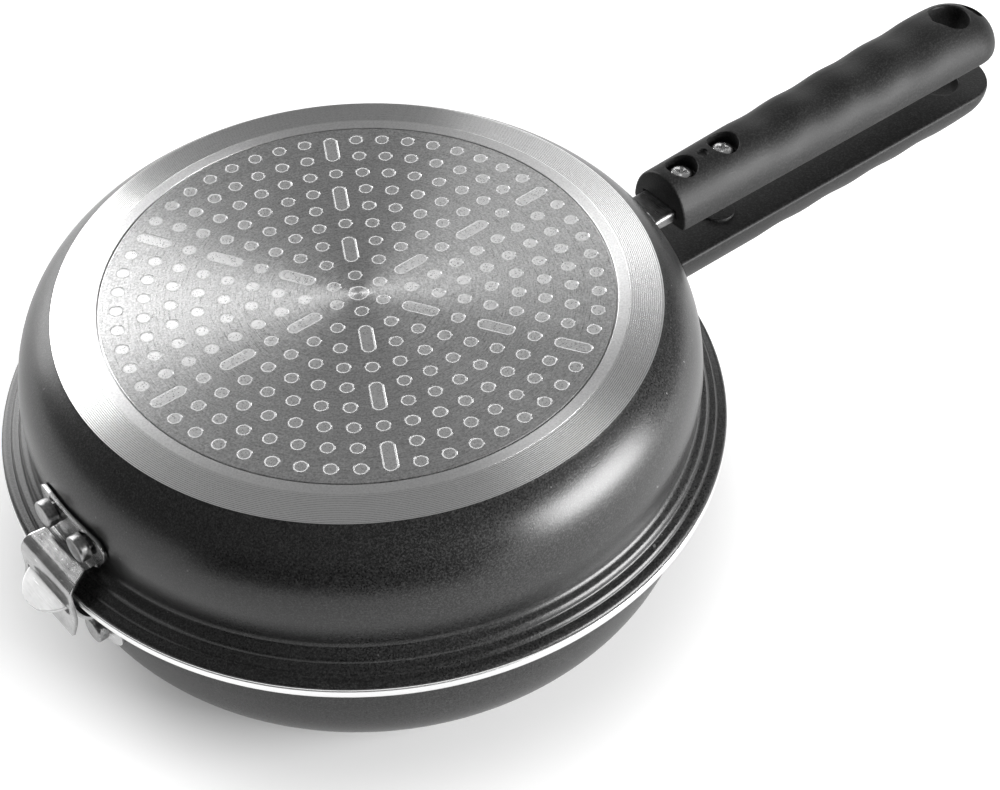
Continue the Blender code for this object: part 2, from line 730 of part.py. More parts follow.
def handle_height(x):
    """Height of the crest above the flat, with the finger waves and the fall of the tail."""
    crest = HANDLE_HEIGHT
    along = x - HANDLE_START - GRIP_WAVE_START
    if 0 < along < GRIP_WAVE_COUNT * GRIP_WAVE_LENGTH:
        crest -= GRIP_WAVE_HEIGHT * (1 - math.cos(2 * math.pi * along / GRIP_WAVE_LENGTH)) / 2
    share = (x - HANDLE_END + TAIL_LENGTH) / TAIL_LENGTH
    if share > 0:
        crest *= (1 - share ** TAIL_FALL_POWER) ** (1 / TAIL_FALL_POWER)
    return crest


def handle_mesh():
    """Tapered D-section grip with finger waves along its crest and a rounded tail."""
    wave_start = HANDLE_START + GRIP_WAVE_START
    places = [HANDLE_START + HANDLE_FRONT_EDGE, (HANDLE_START + wave_start) / 2]
    quarters = 4 * GRIP_WAVE_COUNT
    places += [wave_start + GRIP_WAVE_LENGTH * step / 4 for step in range(quarters)]
    places += [HANDLE_END - TAIL_LENGTH + share * TAIL_LENGTH for share in TAIL_SHARES]
    front_half_width = HANDLE_FRONT_HALF_WIDTH - HANDLE_FRONT_EDGE
    rings = [handle_section(HANDLE_START, front_half_width, HANDLE_HEIGHT - HANDLE_FRONT_EDGE)]
    rings += [handle_section(x, handle_half_width(x), handle_height(x)) for x in sorted(places)]
    blank = lofted("handle", rings)
    finished = combine(blank, handle_steps())
    smooth(finished, 30)
    return finished


def channel_outline():
    """Cross section of the pocket for the bracket's channel, as (across, drop) points."""
    outer = CHANNEL_HALF_WIDTH + SEAT_GAP
    inner = CHANNEL_HALF_WIDTH - BRACKET_SHEET - SEAT_GAP
    top = CHANNEL_DROP + SEAT_GAP
    under = CHANNEL_DROP - BRACKET_SHEET - SEAT_GAP
    lip = CHANNEL_DROP - CHANNEL_FLANGE - SEAT_GAP
    return [
        (-outer, -lip),
        (-outer, -top),
        (outer, -top),
        (outer, -lip),
        (inner, -lip),
        (inner, -under),
        (-inner, -under),
        (-inner, -lip),
    ]


def handle_steps():
    """What is joined to and cut from the handle: boss, wells, bores, pocket, hanging hole."""
    screws = screw_places()
    rear = screws["handle_screw_rear"]
    boss = round_bar("boss", BOSS_RADIUS, -BOSS_HEIGHT, BOSS_HEIGHT, WELL_SEGMENTS)
    steps = [("UNION", guide("boss", boss, upside_down(rear, HANDLE_OFFSET)))]
    pocket = prism(
        "pocket",
        channel_outline(),
        HANDLE_START - CUT_OVERRUN,
        HANDLE_START + CHANNEL_LENGTH + SEAT_GAP,
    )
    lay = Matrix(((0, 0, 1, 0), (1, 0, 0, 0), (0, 1, 0, PAN_DEPTH), (0, 0, 0, 1)))
    steps.append(("DIFFERENCE", guide("pocket", pocket, lay)))
    seat = CREST_DROP - SCREW_WELL_DEPTH
    for label, x in screws.items():
        well = round_bar("well", SCREW_WELL_RADIUS, 0, SCREW_WELL_DEPTH + CUT_OVERRUN, WELL_SEGMENTS)
        steps.append(("DIFFERENCE", guide("well_" + label, well, upside_down(x, seat))))
        depth = seat - HANDLE_OFFSET - SCREW_FLOOR
        hole = SCREW_SHANK_RADIUS + SEAT_GAP
        bore = round_bar("bore", hole, -depth, SCREW_WELL_DEPTH / 2, ROUND_SEGMENTS)
        steps.append(("DIFFERENCE", guide("bore_" + label, bore, upside_down(x, seat))))
    mark = round_bar("mark", PIN_MARK_RADIUS, -PIN_MARK_DEPTH, CUT_OVERRUN, ROUND_SEGMENTS)
    middle = sum(screws.values()) / len(screws)
    steps.append(("DIFFERENCE", guide("mark", mark, upside_down(middle, CREST_DROP))))
    outline = teardrop(HANG_HOLE_RADIUS, HANG_TIP_RADIUS, HANG_TIP_REACH, ROUND_SEGMENTS)
    hang = prism("hang_hole", outline, -CUT_OVERRUN, HANDLE_HEIGHT + CUT_OVERRUN)
    hang_x = HANDLE_END - HANG_HOLE_SETBACK
    steps.append(("DIFFERENCE", guide("hang_hole", hang, upside_down(hang_x, HANDLE_OFFSET))))
    groove_x = HANDLE_END - TAIL_MARK_SETBACK
    outline = rounded_slot(TAIL_MARK_HALF_WIDTH, TAIL_MARK_HALF_LENGTH, TAIL_MARK_HALF_WIDTH, SLOT_END_STEPS)
    groove = prism("groove", merged(outline), -TAIL_MARK_DEPTH, CUT_OVERRUN)
    crest = HANDLE_OFFSET + handle_height(groove_x)
    steps.append(("DIFFERENCE", guide("groove", groove, upside_down(groove_x, crest))))
    return steps


# Assembly


def add_lower(name, mesh, finish, matrix=None):
    item = bpy.data.objects.new("lower_" + name, mesh)
    item.data.materials.clear()
    item.data.materials.append(finish)
    item.matrix_basis = matrix or Matrix()
    bpy.context.collection.objects.link(item)


def add_upper(name, mesh, finish, hinge_axis, matrix=None):
    item = bpy.data.objects.new("upper_" + name, mesh)
    item.data.materials.clear()
    item.data.materials.append(finish)
    item.parent = hinge_axis
    item.matrix_basis = Matrix.Translation(-HINGE_POINT) @ FLIP @ (matrix or Matrix())
    bpy.context.collection.objects.link(item)


def build():
    remove_all_objects()
    hinge_axis = bpy.data.objects.new("hinge_axis", None)
    hinge_axis.location = HINGE_POINT
    bpy.context.collection.objects.link(hinge_axis)

    coating = material("speckled black coating", (0.045, 0.045, 0.047), 0.42, 0.35)
    induction = material("brushed induction steel", (0.52, 0.52, 0.53), 0.34, 1.0)
    stainless = material("polished stainless sheet", (0.62, 0.62, 0.63), 0.26, 1.0)
    bracket_steel = material("plated bracket steel", (0.50, 0.50, 0.51), 0.35, 1.0)
    rivet_metal = material("aluminium rivet", (0.70, 0.70, 0.71), 0.38, 1.0)
    screw_metal = material("bright screw steel", (0.60, 0.60, 0.61), 0.30, 1.0)
    bakelite = material("matt black bakelite", (0.030, 0.030, 0.031), 0.55, 0.0)

    add_lower("pan", pan_mesh("lower_pan", LOWER_LIP), coating)
    add_upper("pan", pan_mesh("upper_pan", UPPER_LIP), coating, hinge_axis)
    add_lower("hinge_bracket", tongue_mesh(), stainless)
    add_upper("hinge_bracket", hook_mesh(), stainless, hinge_axis)

    shared = [
        ("induction_disc", disc_mesh(), induction, None),
        ("handle_bracket", bracket_mesh(), bracket_steel, None),
        ("handle", handle_mesh(), bakelite, None),
    ]
    for name, (side, offset, drop, sheet) in rivet_places().items():
        rivet = rivet_mesh(name, offset, sheet)
        shared.append((name, rivet, rivet_metal, along_x(0, offset, drop, side)))
    screw = screw_mesh()
    for name, x in screw_places().items():
        under_head = CREST_DROP - SCREW_WELL_DEPTH + SEAT_GAP
        shared.append((name, screw, screw_metal, upside_down(x, under_head)))
    for name, mesh, finish, matrix in shared:
        add_lower(name, mesh, finish, matrix)
        add_upper(name, mesh, finish, hinge_axis, matrix)


build()
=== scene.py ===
import math
import bmesh
import bpy
import numpy as np
from mathutils import Euler, Matrix, Vector
from mathutils.geometry import delaunay_2d_cdt


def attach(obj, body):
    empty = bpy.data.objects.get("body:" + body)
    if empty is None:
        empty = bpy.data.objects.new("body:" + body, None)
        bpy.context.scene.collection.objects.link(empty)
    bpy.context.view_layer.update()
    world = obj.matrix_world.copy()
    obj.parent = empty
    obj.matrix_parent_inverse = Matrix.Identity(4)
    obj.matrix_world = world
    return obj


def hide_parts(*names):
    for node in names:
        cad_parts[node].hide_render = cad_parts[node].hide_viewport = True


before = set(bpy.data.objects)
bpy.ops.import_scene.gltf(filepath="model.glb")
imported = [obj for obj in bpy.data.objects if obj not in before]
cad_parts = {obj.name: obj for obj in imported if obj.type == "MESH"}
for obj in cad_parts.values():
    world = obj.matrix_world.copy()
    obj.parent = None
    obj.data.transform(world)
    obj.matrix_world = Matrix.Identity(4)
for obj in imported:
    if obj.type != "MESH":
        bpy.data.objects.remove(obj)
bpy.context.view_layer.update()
print("frame loaded:", len(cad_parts), "nodes")

mm = 0.001
full = 99.2                      # both pans closed, mm
rimPlane = full / 2              # the plane where the rims meet
turnOver = Matrix.Translation((0, 0, full * mm)) @ Matrix.Rotation(math.pi, 4, "X")


def addMesh(name, verts, faces, material, angle=40):
    # verts in mm
    mesh = bpy.data.meshes.new(name)
    if isinstance(faces, np.ndarray):
        faces = faces.tolist()
    mesh.from_pydata((np.asarray(verts) * mm).tolist(), [], faces)
    mesh.validate()
    mesh.update()
    mesh.shade_smooth()
    mesh.set_sharp_from_angle(angle=math.radians(angle))
    mesh.materials.append(material)
    obj = bpy.data.objects.new(name, mesh)
    bpy.context.collection.objects.link(obj)
    return obj


def gridFaces(rows, cols, closeRows=False, closeCols=False, flip=False):
    # Quads of a rows x cols grid of points; either direction may run round into itself.
    r = np.arange(rows if closeRows else rows - 1)
    c = np.arange(cols if closeCols else cols - 1)
    a, b = np.meshgrid(r, c, indexing="ij")
    a, b = a.ravel(), b.ravel()
    a2, b2 = (a + 1) % rows, (b + 1) % cols
    quads = np.stack([a * cols + b, a * cols + b2, a2 * cols + b2, a2 * cols + b], 1)
    return quads[:, ::-1] if flip else quads


def lathe(profile, count):
    # Each profile point (r, z) goes round the Z axis: (r cos a, r sin a, z). Both ends of the profile
    # are on the axis, where a ring shrinks to one point and its quads to triangles.
    p = np.asarray(profile, float)
    a = np.arange(count) * 2 * np.pi / count
    inner = p[1:-1]
    ring = np.stack([np.outer(inner[:, 0], np.cos(a)), np.outer(inner[:, 0], np.sin(a)),
                     np.repeat(inner[:, 1:2], count, 1)], -1).reshape(-1, 3)
    verts = np.concatenate([ring, [[0, 0, p[0, 1]], [0, 0, p[-1, 1]]]])
    faces = gridFaces(len(inner), count, closeCols=True).tolist()
    k, last = len(ring), (len(inner) - 1) * count
    n = np.arange(count)
    faces += np.stack([n, np.full(count, k), (n + 1) % count], 1).tolist()
    faces += np.stack([last + n, last + (n + 1) % count, np.full(count, k + 1)], 1).tolist()
    return verts, faces


def cubic(p0, p1, p2, p3, count):
    # A cubic curve from p0 to p3 pulled towards p1 and p2, without its first point.
    t = np.linspace(0, 1, count + 1)[1:, None]
    s = 1 - t
    return s ** 3 * p0 + 3 * s * s * t * p1 + 3 * s * t * t * p2 + t ** 3 * p3


def rounded(points, radius, steps=3):
    # Each corner of the open line gives way to a quadratic bend that starts and ends radius away
    # from it, or at less than half of the shorter side.
    p = np.asarray(points, float)
    out = [p[:1]]
    for before, corner, after in zip(p[:-2], p[1:-1], p[2:]):
        u, v = before - corner, after - corner
        lu, lv = np.linalg.norm(u), np.linalg.norm(v)
        k = min(radius, 0.45 * lu, 0.45 * lv)
        start, end = corner + u / lu * k, corner + v / lv * k
        t = np.linspace(0, 1, steps + 1)[:, None]
        out.append((1 - t) ** 2 * start + 2 * t * (1 - t) * corner + t * t * end)
    out.append(p[-1:])
    return np.concatenate(out)


def flowing(rows, steps):
    # A smooth line through the rows of a table: each stretch is a Hermite cubic whose end slopes are
    # half the difference of the neighbours, weighted by the distance between rows.
    p = np.asarray(rows, float)
    d = np.maximum(np.linalg.norm(np.diff(p[:, :2], axis=0), axis=1), 1e-6) ** 0.5
    u = np.concatenate([[0], np.cumsum(d)])
    slope = np.empty_like(p)
    step = np.diff(p, axis=0) / d[:, None]
    slope[1:-1] = (step[:-1] * d[1:, None] + step[1:] * d[:-1, None]) / (d[1:] + d[:-1])[:, None]
    slope[0], slope[-1] = step[0], step[-1]
    t = np.linspace(0, 1, steps + 1)[1:][None, :, None]
    h = d[:, None, None]
    a, b, ma, mb = (x[:, None, :] for x in (p[:-1], p[1:], slope[:-1], slope[1:]))
    mid = ((2 * t ** 3 - 3 * t * t + 1) * a + (t ** 3 - 2 * t * t + t) * h * ma
           + (3 * t * t - 2 * t ** 3) * b + (t ** 3 - t * t) * h * mb)
    return np.concatenate([p[:1], mid.reshape(-1, p.shape[1])])


def turned(obj, name):
    # The upper body is the lower one turned over about X, so a twin is the same mesh turned over.
    mesh = obj.data.copy()
    mesh.name = name
    mesh.transform(turnOver)
    twin = bpy.data.objects.new(name, mesh)
    bpy.context.collection.objects.link(twin)
    return twin


def cutter(name, rings):
    # A closed tube through rings of points (rings x points x 3, mm), with flat ends.
    count, around = rings.shape[:2]
    faces = gridFaces(count, around, closeCols=True).tolist()
    faces += [list(range(around))[::-1], [(count - 1) * around + k for k in range(around)]]
    mesh = bpy.data.meshes.new(name)
    mesh.from_pydata((rings.reshape(-1, 3) * mm).tolist(), [], faces)
    bm = bmesh.new()
    bm.from_mesh(mesh)
    bmesh.ops.recalc_face_normals(bm, faces=bm.faces)
    bm.to_mesh(mesh)
    bm.free()
    obj = bpy.data.objects.new(name, mesh)
    bpy.context.collection.objects.link(obj)
    return obj


def bake(obj, tools, angle):
    # Runs the object's modifiers into its mesh and clears away the shapes that cut it.
    bpy.context.view_layer.update()
    shaped = obj.evaluated_get(bpy.context.evaluated_depsgraph_get())
    mesh = bpy.data.meshes.new_from_object(shaped)
    old, materials = obj.data, list(obj.data.materials)
    obj.modifiers.clear()
    obj.data = mesh
    mesh.name = old.name
    bpy.data.meshes.remove(old)
    mesh.materials.clear()
    for material in materials:
        mesh.materials.append(material)
    index = np.empty(len(mesh.polygons), np.int32)
    mesh.polygons.foreach_get("material_index", index)
    mesh.polygons.foreach_set("material_index", np.minimum(index, len(materials) - 1))
    mesh.shade_smooth()
    mesh.set_sharp_from_angle(angle=math.radians(angle))
    for tool in tools:
        bpy.data.objects.remove(tool, do_unlink=True)
    return obj


def cut(obj, tools, angle=40, operation="DIFFERENCE"):
    for tool in tools:
        step = obj.modifiers.new(tool.name, "BOOLEAN")
        step.operation = operation
        step.solver = "EXACT"
        step.object = tool
    return bake(obj, tools, angle)


def settle(obj, body, slot, *nodes):
    # The piece takes its node's place on its body.
    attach(obj, body)
    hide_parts(*nodes)
    return obj


class Val:
    # A socket that can be used in sums: each operator adds one Math node.
    def __init__(self, shade, socket):
        self.shade, self.socket = shade, socket

    def math(self, operation, *others, clamp=False):
        values = {i + 1: v for i, v in enumerate(others)}
        return self.shade.node("ShaderNodeMath", {"operation": operation, "use_clamp": clamp}, {0: self, **values})

    def turned(self, operation, other):
        return self.shade.node("ShaderNodeMath", {"operation": operation}, {0: other, 1: self})

    def __add__(self, other): return self.math("ADD", other)
    def __radd__(self, other): return self.turned("ADD", other)
    def __sub__(self, other): return self.math("SUBTRACT", other)
    def __rsub__(self, other): return self.turned("SUBTRACT", other)
    def __mul__(self, other): return self.math("MULTIPLY", other)
    def __rmul__(self, other): return self.turned("MULTIPLY", other)
    def __truediv__(self, other): return self.math("DIVIDE", other)
    def __rtruediv__(self, other): return self.turned("DIVIDE", other)
    def __pow__(self, other): return self.math("POWER", other)
    def __neg__(self): return self.turned("MULTIPLY", -1)
    def __abs__(self): return self.math("ABSOLUTE")
    def root(self): return self.math("SQRT")
    def sine(self): return self.math("SINE")
    def least(self, other): return self.math("MINIMUM", other)
    def most(self, other): return self.math("MAXIMUM", other)
    def within(self): return self.math("ADD", 0, clamp=True)

    def rise(self, low, high):
        # 0 below low, 1 above high, smooth between
        return self.shade.node("ShaderNodeMapRange", {"interpolation_type": "SMOOTHSTEP"},
                               {"Value": self, "From Min": low, "From Max": high})


class Shade:
    # One material. node() adds any node: its settings first, then the values or links of its sockets.
    def __init__(self, name):
        self.material = bpy.data.materials.new(name)
        self.material.use_nodes = True
        self.tree = self.material.node_tree
        self.tree.nodes.clear()

    def node(self, kind, settings=None, inputs=None, out=0):
        made = self.tree.nodes.new(kind)
        for key, value in (settings or {}).items():
            if key == "stops":
                ramp = made.color_ramp.elements
                while len(ramp) < len(value):
                    ramp.new(0.5)
                for element, (at, tone) in zip(ramp, value):
                    element.position, element.color = at, (tone, tone, tone, 1)
            else:
                setattr(made, key, value)
        for key, value in (inputs or {}).items():
            socket = made.inputs[key]
            if isinstance(value, Val):
                self.tree.links.new(value.socket, socket)
            else:
                socket.default_value = value
        found = made.outputs[out]
        return Val(self, found)

    def place(self, scale=(1, 1, 1), turn=(0, 0, 0), shift=(0, 0, 0)):
        where = self.node("ShaderNodeTexCoord", out="Object")
        return self.node("ShaderNodeMapping", {}, {"Vector": where, "Location": shift, "Rotation": turn, "Scale": scale})

    def axes(self, vector):
        return [self.node("ShaderNodeSeparateXYZ", {}, {0: vector}, out=i) for i in range(3)]

    def noise(self, vector, scale, detail=3, rough=0.5, warp=0.0):
        return self.node("ShaderNodeTexNoise", {}, {"Vector": vector, "Scale": scale, "Detail": detail,
                                                    "Roughness": rough, "Distortion": warp})

    def line(self, at, scale, detail=2, rough=0.5):
        # noise along one number, for rings and straight brushing
        return self.node("ShaderNodeTexNoise", {"noise_dimensions": "1D"},
                         {"W": at, "Scale": scale, "Detail": detail, "Roughness": rough})

    def cells(self, vector, scale, feature="F1", out="Distance"):
        return self.node("ShaderNodeTexVoronoi", {"feature": feature}, {"Vector": vector, "Scale": scale}, out=out)

    def mix(self, share, a, b):
        # colours: floats are greys
        tone = [v if isinstance(v, Val) else (*v, 1) if isinstance(v, tuple) else (v, v, v, 1) for v in (a, b)]
        return self.node("ShaderNodeMix", {"data_type": "RGBA"}, {0: share, 6: tone[0], 7: tone[1]}, out=2)

    def bump(self, height, distance, strength=1.0, under=None):
        inputs = {"Height": height, "Distance": distance, "Strength": strength}
        if under is not None:
            inputs["Normal"] = under
        return self.node("ShaderNodeBump", {}, inputs)

    def finish(self, **sockets):
        named = {k.replace("_", " "): (*v, 1) if isinstance(v, tuple) else v for k, v in sockets.items()}
        shader = self.node("ShaderNodeBsdfPrincipled", {}, named)
        end = self.tree.nodes.new("ShaderNodeOutputMaterial")
        self.tree.links.new(shader.socket, end.inputs["Surface"])
        return self.material


# Finishes. Greys are linear, lengths in the nodes are metres, and r and deep below are mm.
coatingLook = {"tone": 0.004, "flakeTone": 0.16, "flakeSize": 0.00022, "roughness": 0.30, "grain": 0.000012}
aluminiumLook = {"pitch": 0.63, "tone": 0.86, "roughness": 0.32, "ringScale": 2600, "ringDepth": 0.000010}
steelLook = {"tone": 0.66, "roughness": 0.30, "anisotropy": 0.75, "ringDepth": 0.000006}


def radial(s):
    # distance from the Z axis and height, both in mm
    x, y, z = s.axes(s.node("ShaderNodeTexCoord", out="Object"))
    return (x * x + y * y).root() * 1000, z * 1000


def panFinish(body, bareLip):
    # Flecked coating, worn to bare aluminium on the rim's edge.
    s = Shade(body + "PanFinish")
    where = s.place()
    r, z = radial(s)
    deep = z if body == "lower" else full - z
    edge = r.rise(119.55, 119.75) * deep.rise(rimPlane - bareLip - 0.1, rimPlane - bareLip)
    bare = edge.most(deep.rise(rimPlane - 0.25, rimPlane - 0.2))
    drift = s.noise(where, 30, 2)
    flakes = s.cells(where, 1 / coatingLook["flakeSize"], out="Color")
    fleck = s.node("ShaderNodeSeparateXYZ", {}, {0: flakes}, out=0).rise(0.80, 1.0)
    dust = s.noise(where, 420, 1).rise(0.78, 0.81)
    speckle = s.noise(where, 1700, 2, 0.6)
    coatTone = coatingLook["tone"] + fleck * (coatingLook["flakeTone"] * 0.3) + dust * 0.10 + (speckle - 0.44).most(0) * 0.13
    tone = s.mix(bare, coatTone, aluminiumLook["tone"])
    metal = bare.most((fleck * 0.5).within())
    coatRough = coatingLook["roughness"] + (drift - 0.5) * 0.08 + (speckle - 0.5) * 0.12
    grain = s.noise(where, 3200, 2, 0.6) * 1.2 + speckle * 2.6
    height = grain * (1 - bare) * coatingLook["grain"]
    return s.finish(Base_Color=tone, Metallic=metal, Normal=s.bump(height, 1.0, 1.0),
                    Roughness=coatRough * (1 - bare) + aluminiumLook["roughness"] * bare)


def turnedFinish():
    # The bare base: a matt standing ring, and a band with turning marks that run round it, plus painted light and shade
    # in lines at the pitch of its grooves.
    s = Shade("turnedFinish")
    where = s.place()
    r, z = radial(s)
    flatRing = r.rise(82.4, 82.6) * (1 - r.rise(86.35, 86.45))
    rings, wideRings = s.line(r, 9.0, 4, 0.65), s.line(r, 1.1, 2)
    grit = s.noise(where, 1500, 2, 0.6)
    drift = s.noise(where, 30, 2)
    # painted light and shade: light and dark lines in the colour, following the saw grooves
    grooveLightAndShade = ((r - 86.65) * (2 * math.pi / aluminiumLook["pitch"])).sine() * (1 - flatRing) * r.rise(86.5, 86.6)
    tone = aluminiumLook["tone"] + (wideRings - 0.5) * 0.10 + (rings - 0.5) * 0.12 + flatRing * 0.04 + grooveLightAndShade * 0.38 + (grit - 0.5) * 0.45
    rough = aluminiumLook["roughness"] + (rings - 0.5) * 0.2 + flatRing * 0.08 + (drift - 0.5) * 0.05
    return s.finish(Base_Color=tone, Metallic=1.0, Roughness=rough, Anisotropic=0.84, Anisotropic_Rotation=0.25,
                    Normal=s.bump(rings * aluminiumLook["ringDepth"], 1.0, 1.0))


def discFinish(body):
    # Steel brushed in circles: fine rings across a radius, faint arcs along them.
    s = Shade(body + "DiscFinish")
    where = s.place()
    r, z = radial(s)
    x, y, z = s.axes(where)
    stretched = s.node("ShaderNodeCombineXYZ", {}, {0: r * 2.4, 1: x * 260, 2: y * 260})
    arcs = s.noise(stretched, 1.0, 4, 0.7)
    fine = s.line(r, 3.4, 5, 0.75)
    grit = s.noise(where, 1500, 2, 0.6)
    drift = s.noise(where, 26, 2)
    tone = steelLook["tone"] + (fine - 0.5) * 0.16 + (arcs - 0.5) * 0.55 + (grit - 0.5) * 0.85
    rough = steelLook["roughness"] + (fine - 0.5) * 0.08 + (arcs - 0.5) * 0.14 + (drift - 0.5) * 0.05
    height = (fine + arcs) * steelLook["ringDepth"]
    return s.finish(Base_Color=tone, Metallic=1.0, Roughness=rough, Normal=s.bump(height, 1.0, 1.0),
                    Anisotropic=steelLook["anisotropy"], Anisotropic_Rotation=0.25)


def studFinish():
    # A mottled pressed face.
    s = Shade("studFinish")
    mottle = s.noise(s.place(), 1500, 3, 0.65)
    tone = 0.98 + (mottle - 0.5) * 1.1
    rough = 0.31 + (mottle - 0.5) * 0.3
    return s.finish(Base_Color=tone, Metallic=1.0, Roughness=rough,
                    Normal=s.bump(mottle * 0.00001, 1.0, 1.0), Anisotropic=0.70, Anisotropic_Rotation=0.25)


def studRimFinish():
    # A pale rim round each pressed face: painted highlight, a near-white matt finish so that it looks lit all round.
    s = Shade("studRimFinish")
    mottle = s.noise(s.place(), 1500, 2, 0.6)
    return s.finish(Base_Color=0.85 + (mottle - 0.5) * 0.3, Metallic=0.15, Roughness=0.5)


def sheetFinish(name, tone, roughness, alongY=True, marks=0.5):
    # Rolled sheet: hair lines along the strip, cloudy polish, a few press marks and small scratches.
    s = Shade(name)
    where = s.place()
    stretched = s.place(scale=(1, 0.05, 1) if alongY else (0.05, 1, 1))
    hair = s.noise(stretched, 5200, 4, 0.65)
    cloud = s.noise(where, 160, 3, 0.55, 0.4)
    scratch = s.noise(s.place(scale=(1, 0.12, 1), turn=(0.3, 0.5, 0.9)), 1500, 2, 0.6).rise(0.66, 0.74)
    dent = s.noise(where, 620, 2, 0.5).rise(0.60, 0.74)
    shade = tone + (hair - 0.5) * 0.20 + (cloud - 0.5) * 0.34 + scratch * 0.35 + (hair - 0.5) * 0.15
    rough = roughness + (hair - 0.5) * 0.14 + (cloud - 0.5) * 0.12
    height = hair * 0.0000035 + cloud * 0.000006 - dent * (0.000008 * marks) - scratch * (0.00001 * marks)
    return s.finish(Base_Color=shade, Metallic=1.0, Roughness=rough,
                    Normal=s.bump(height, 1.0, 1.0))


def cutEdgeFinish():
    # Sheared edges of the sheet, with fine shear lines, painted bright as an edge highlight.
    s = Shade("cutEdgeFinish")
    lines = s.noise(s.place(), 2600, 3, 0.6)
    return s.finish(Base_Color=0.88 + (lines - 0.5) * 0.7, Metallic=0.8, Roughness=0.42 + (lines - 0.5) * 0.2)


def rivetFinish():
    # Formed aluminium: a hammered, mottled face.
    s = Shade("rivetFinish")
    where = s.place()
    mottle = s.noise(where, 950, 3, 0.6, 0.3)
    pits = s.cells(where, 1700).rise(0.05, 0.55)
    tone = 0.30 + (mottle - 0.5) * 0.5
    rough = 0.34 + (mottle - 0.5) * 0.22
    height = mottle * 0.00003 + pits * 0.000008
    return s.finish(Base_Color=tone, Metallic=1.0, Roughness=rough,
                    Normal=s.bump(height, 1.0, 1.0))


def screwFinish():
    s = Shade("screwFinish")
    where = s.place()
    cloud = s.noise(where, 700, 3, 0.6)
    return s.finish(Base_Color=0.64 + (cloud - 0.5) * 0.2, Metallic=1.0,
                    Roughness=0.24 + (cloud - 0.5) * 0.2, Normal=s.bump(cloud * 0.00001, 1.0, 1.0))


def bakeliteFinish():
    # Matt moulding with a fine stippled grain and faint rub marks.
    s = Shade("bakeliteFinish")
    where = s.place()
    stipple = s.noise(where, 1500, 2, 0.6)
    coarse = s.noise(where, 700, 2, 0.5)
    cloud = s.noise(where, 45, 3, 0.5)
    rub = s.noise(s.place(scale=(0.15, 1, 1)), 260, 3, 0.6).rise(0.55, 0.75)
    tone = 0.006 + (cloud - 0.5) * 0.004 + rub * 0.003 + (stipple - 0.44).most(0) * 0.07
    rough = 0.52 + (cloud - 0.5) * 0.10 + (stipple - 0.5) * 0.20 - rub * 0.04
    height = stipple * 0.00007 + coarse * 0.00002
    return s.finish(Base_Color=tone, Metallic=0.0, Roughness=rough, Specular_IOR_Level=0.28,
                    Normal=s.bump(height, 1.0, 1.0))


finishes = {
    "lowerPan": panFinish("lower", 2.7),
    "upperPan": panFinish("upper", 0.65),
    "turned": turnedFinish(),
    "disc": discFinish("both"),
    "stud": studFinish(),
    "studRimHighlight": studRimFinish(),
    "hingeSheet": sheetFinish("hingeSheetFinish", 0.42, 0.23, True, 1.0),
    # painted light: the tongue is the hook's steel, toned lighter where it lies open to the lamps
    "litTongueSheet": sheetFinish("litTongueSheetFinish", 0.58, 0.40, True, 0.8),
    "bracketSheet": sheetFinish("bracketSheetFinish", 0.16, 0.36, True, 0.7),
    "cutEdgeHighlight": cutEdgeFinish(),
    "rivet": rivetFinish(),
    "screw": screwFinish(),
    "bakelite": bakeliteFinish(),
}
print("finishes:", len(finishes))


# Pans: radii and heights in mm, heights from the pan's own base
panShape = {"segments": 256, "hollow": 0.9, "flat": 86.5, "band": 97.0, "bandRise": 0.75, "wall": 111.0,
            "neck": 110.2, "rim": 120.0, "widest": 29.6, "recess": 82.5, "recessDeep": 1.3, "floor": 4.5,
            "sheet": 2.2, "flange": 10.5, "rimWidth": 1.7, "landDrop": 0.15, "groovePitch": aluminiumLook["pitch"],
            "grooveDepth": 0.085, "soft": 0.5}
flangeSteps = [(0, 1), (.02, .84), (.10, .75), (.27, .67), (.34, .57), (.36, .47), (.45, .43), (.59, .39),
               (.65, .31), (.67, .25), (.86, .22), (.96, .16)]
flangeInside = [(0, .95), (.04, .72), (.31, .53), (.37, .41), (.64, .28), (.69, .17), (.97, .06)]


def hollow(r):
    # The base is dished, most in the middle and nothing at the ring it stands on.
    return panShape["hollow"] * (1 - np.minimum(np.asarray(r, float) / panShape["flat"], 1) ** 2)


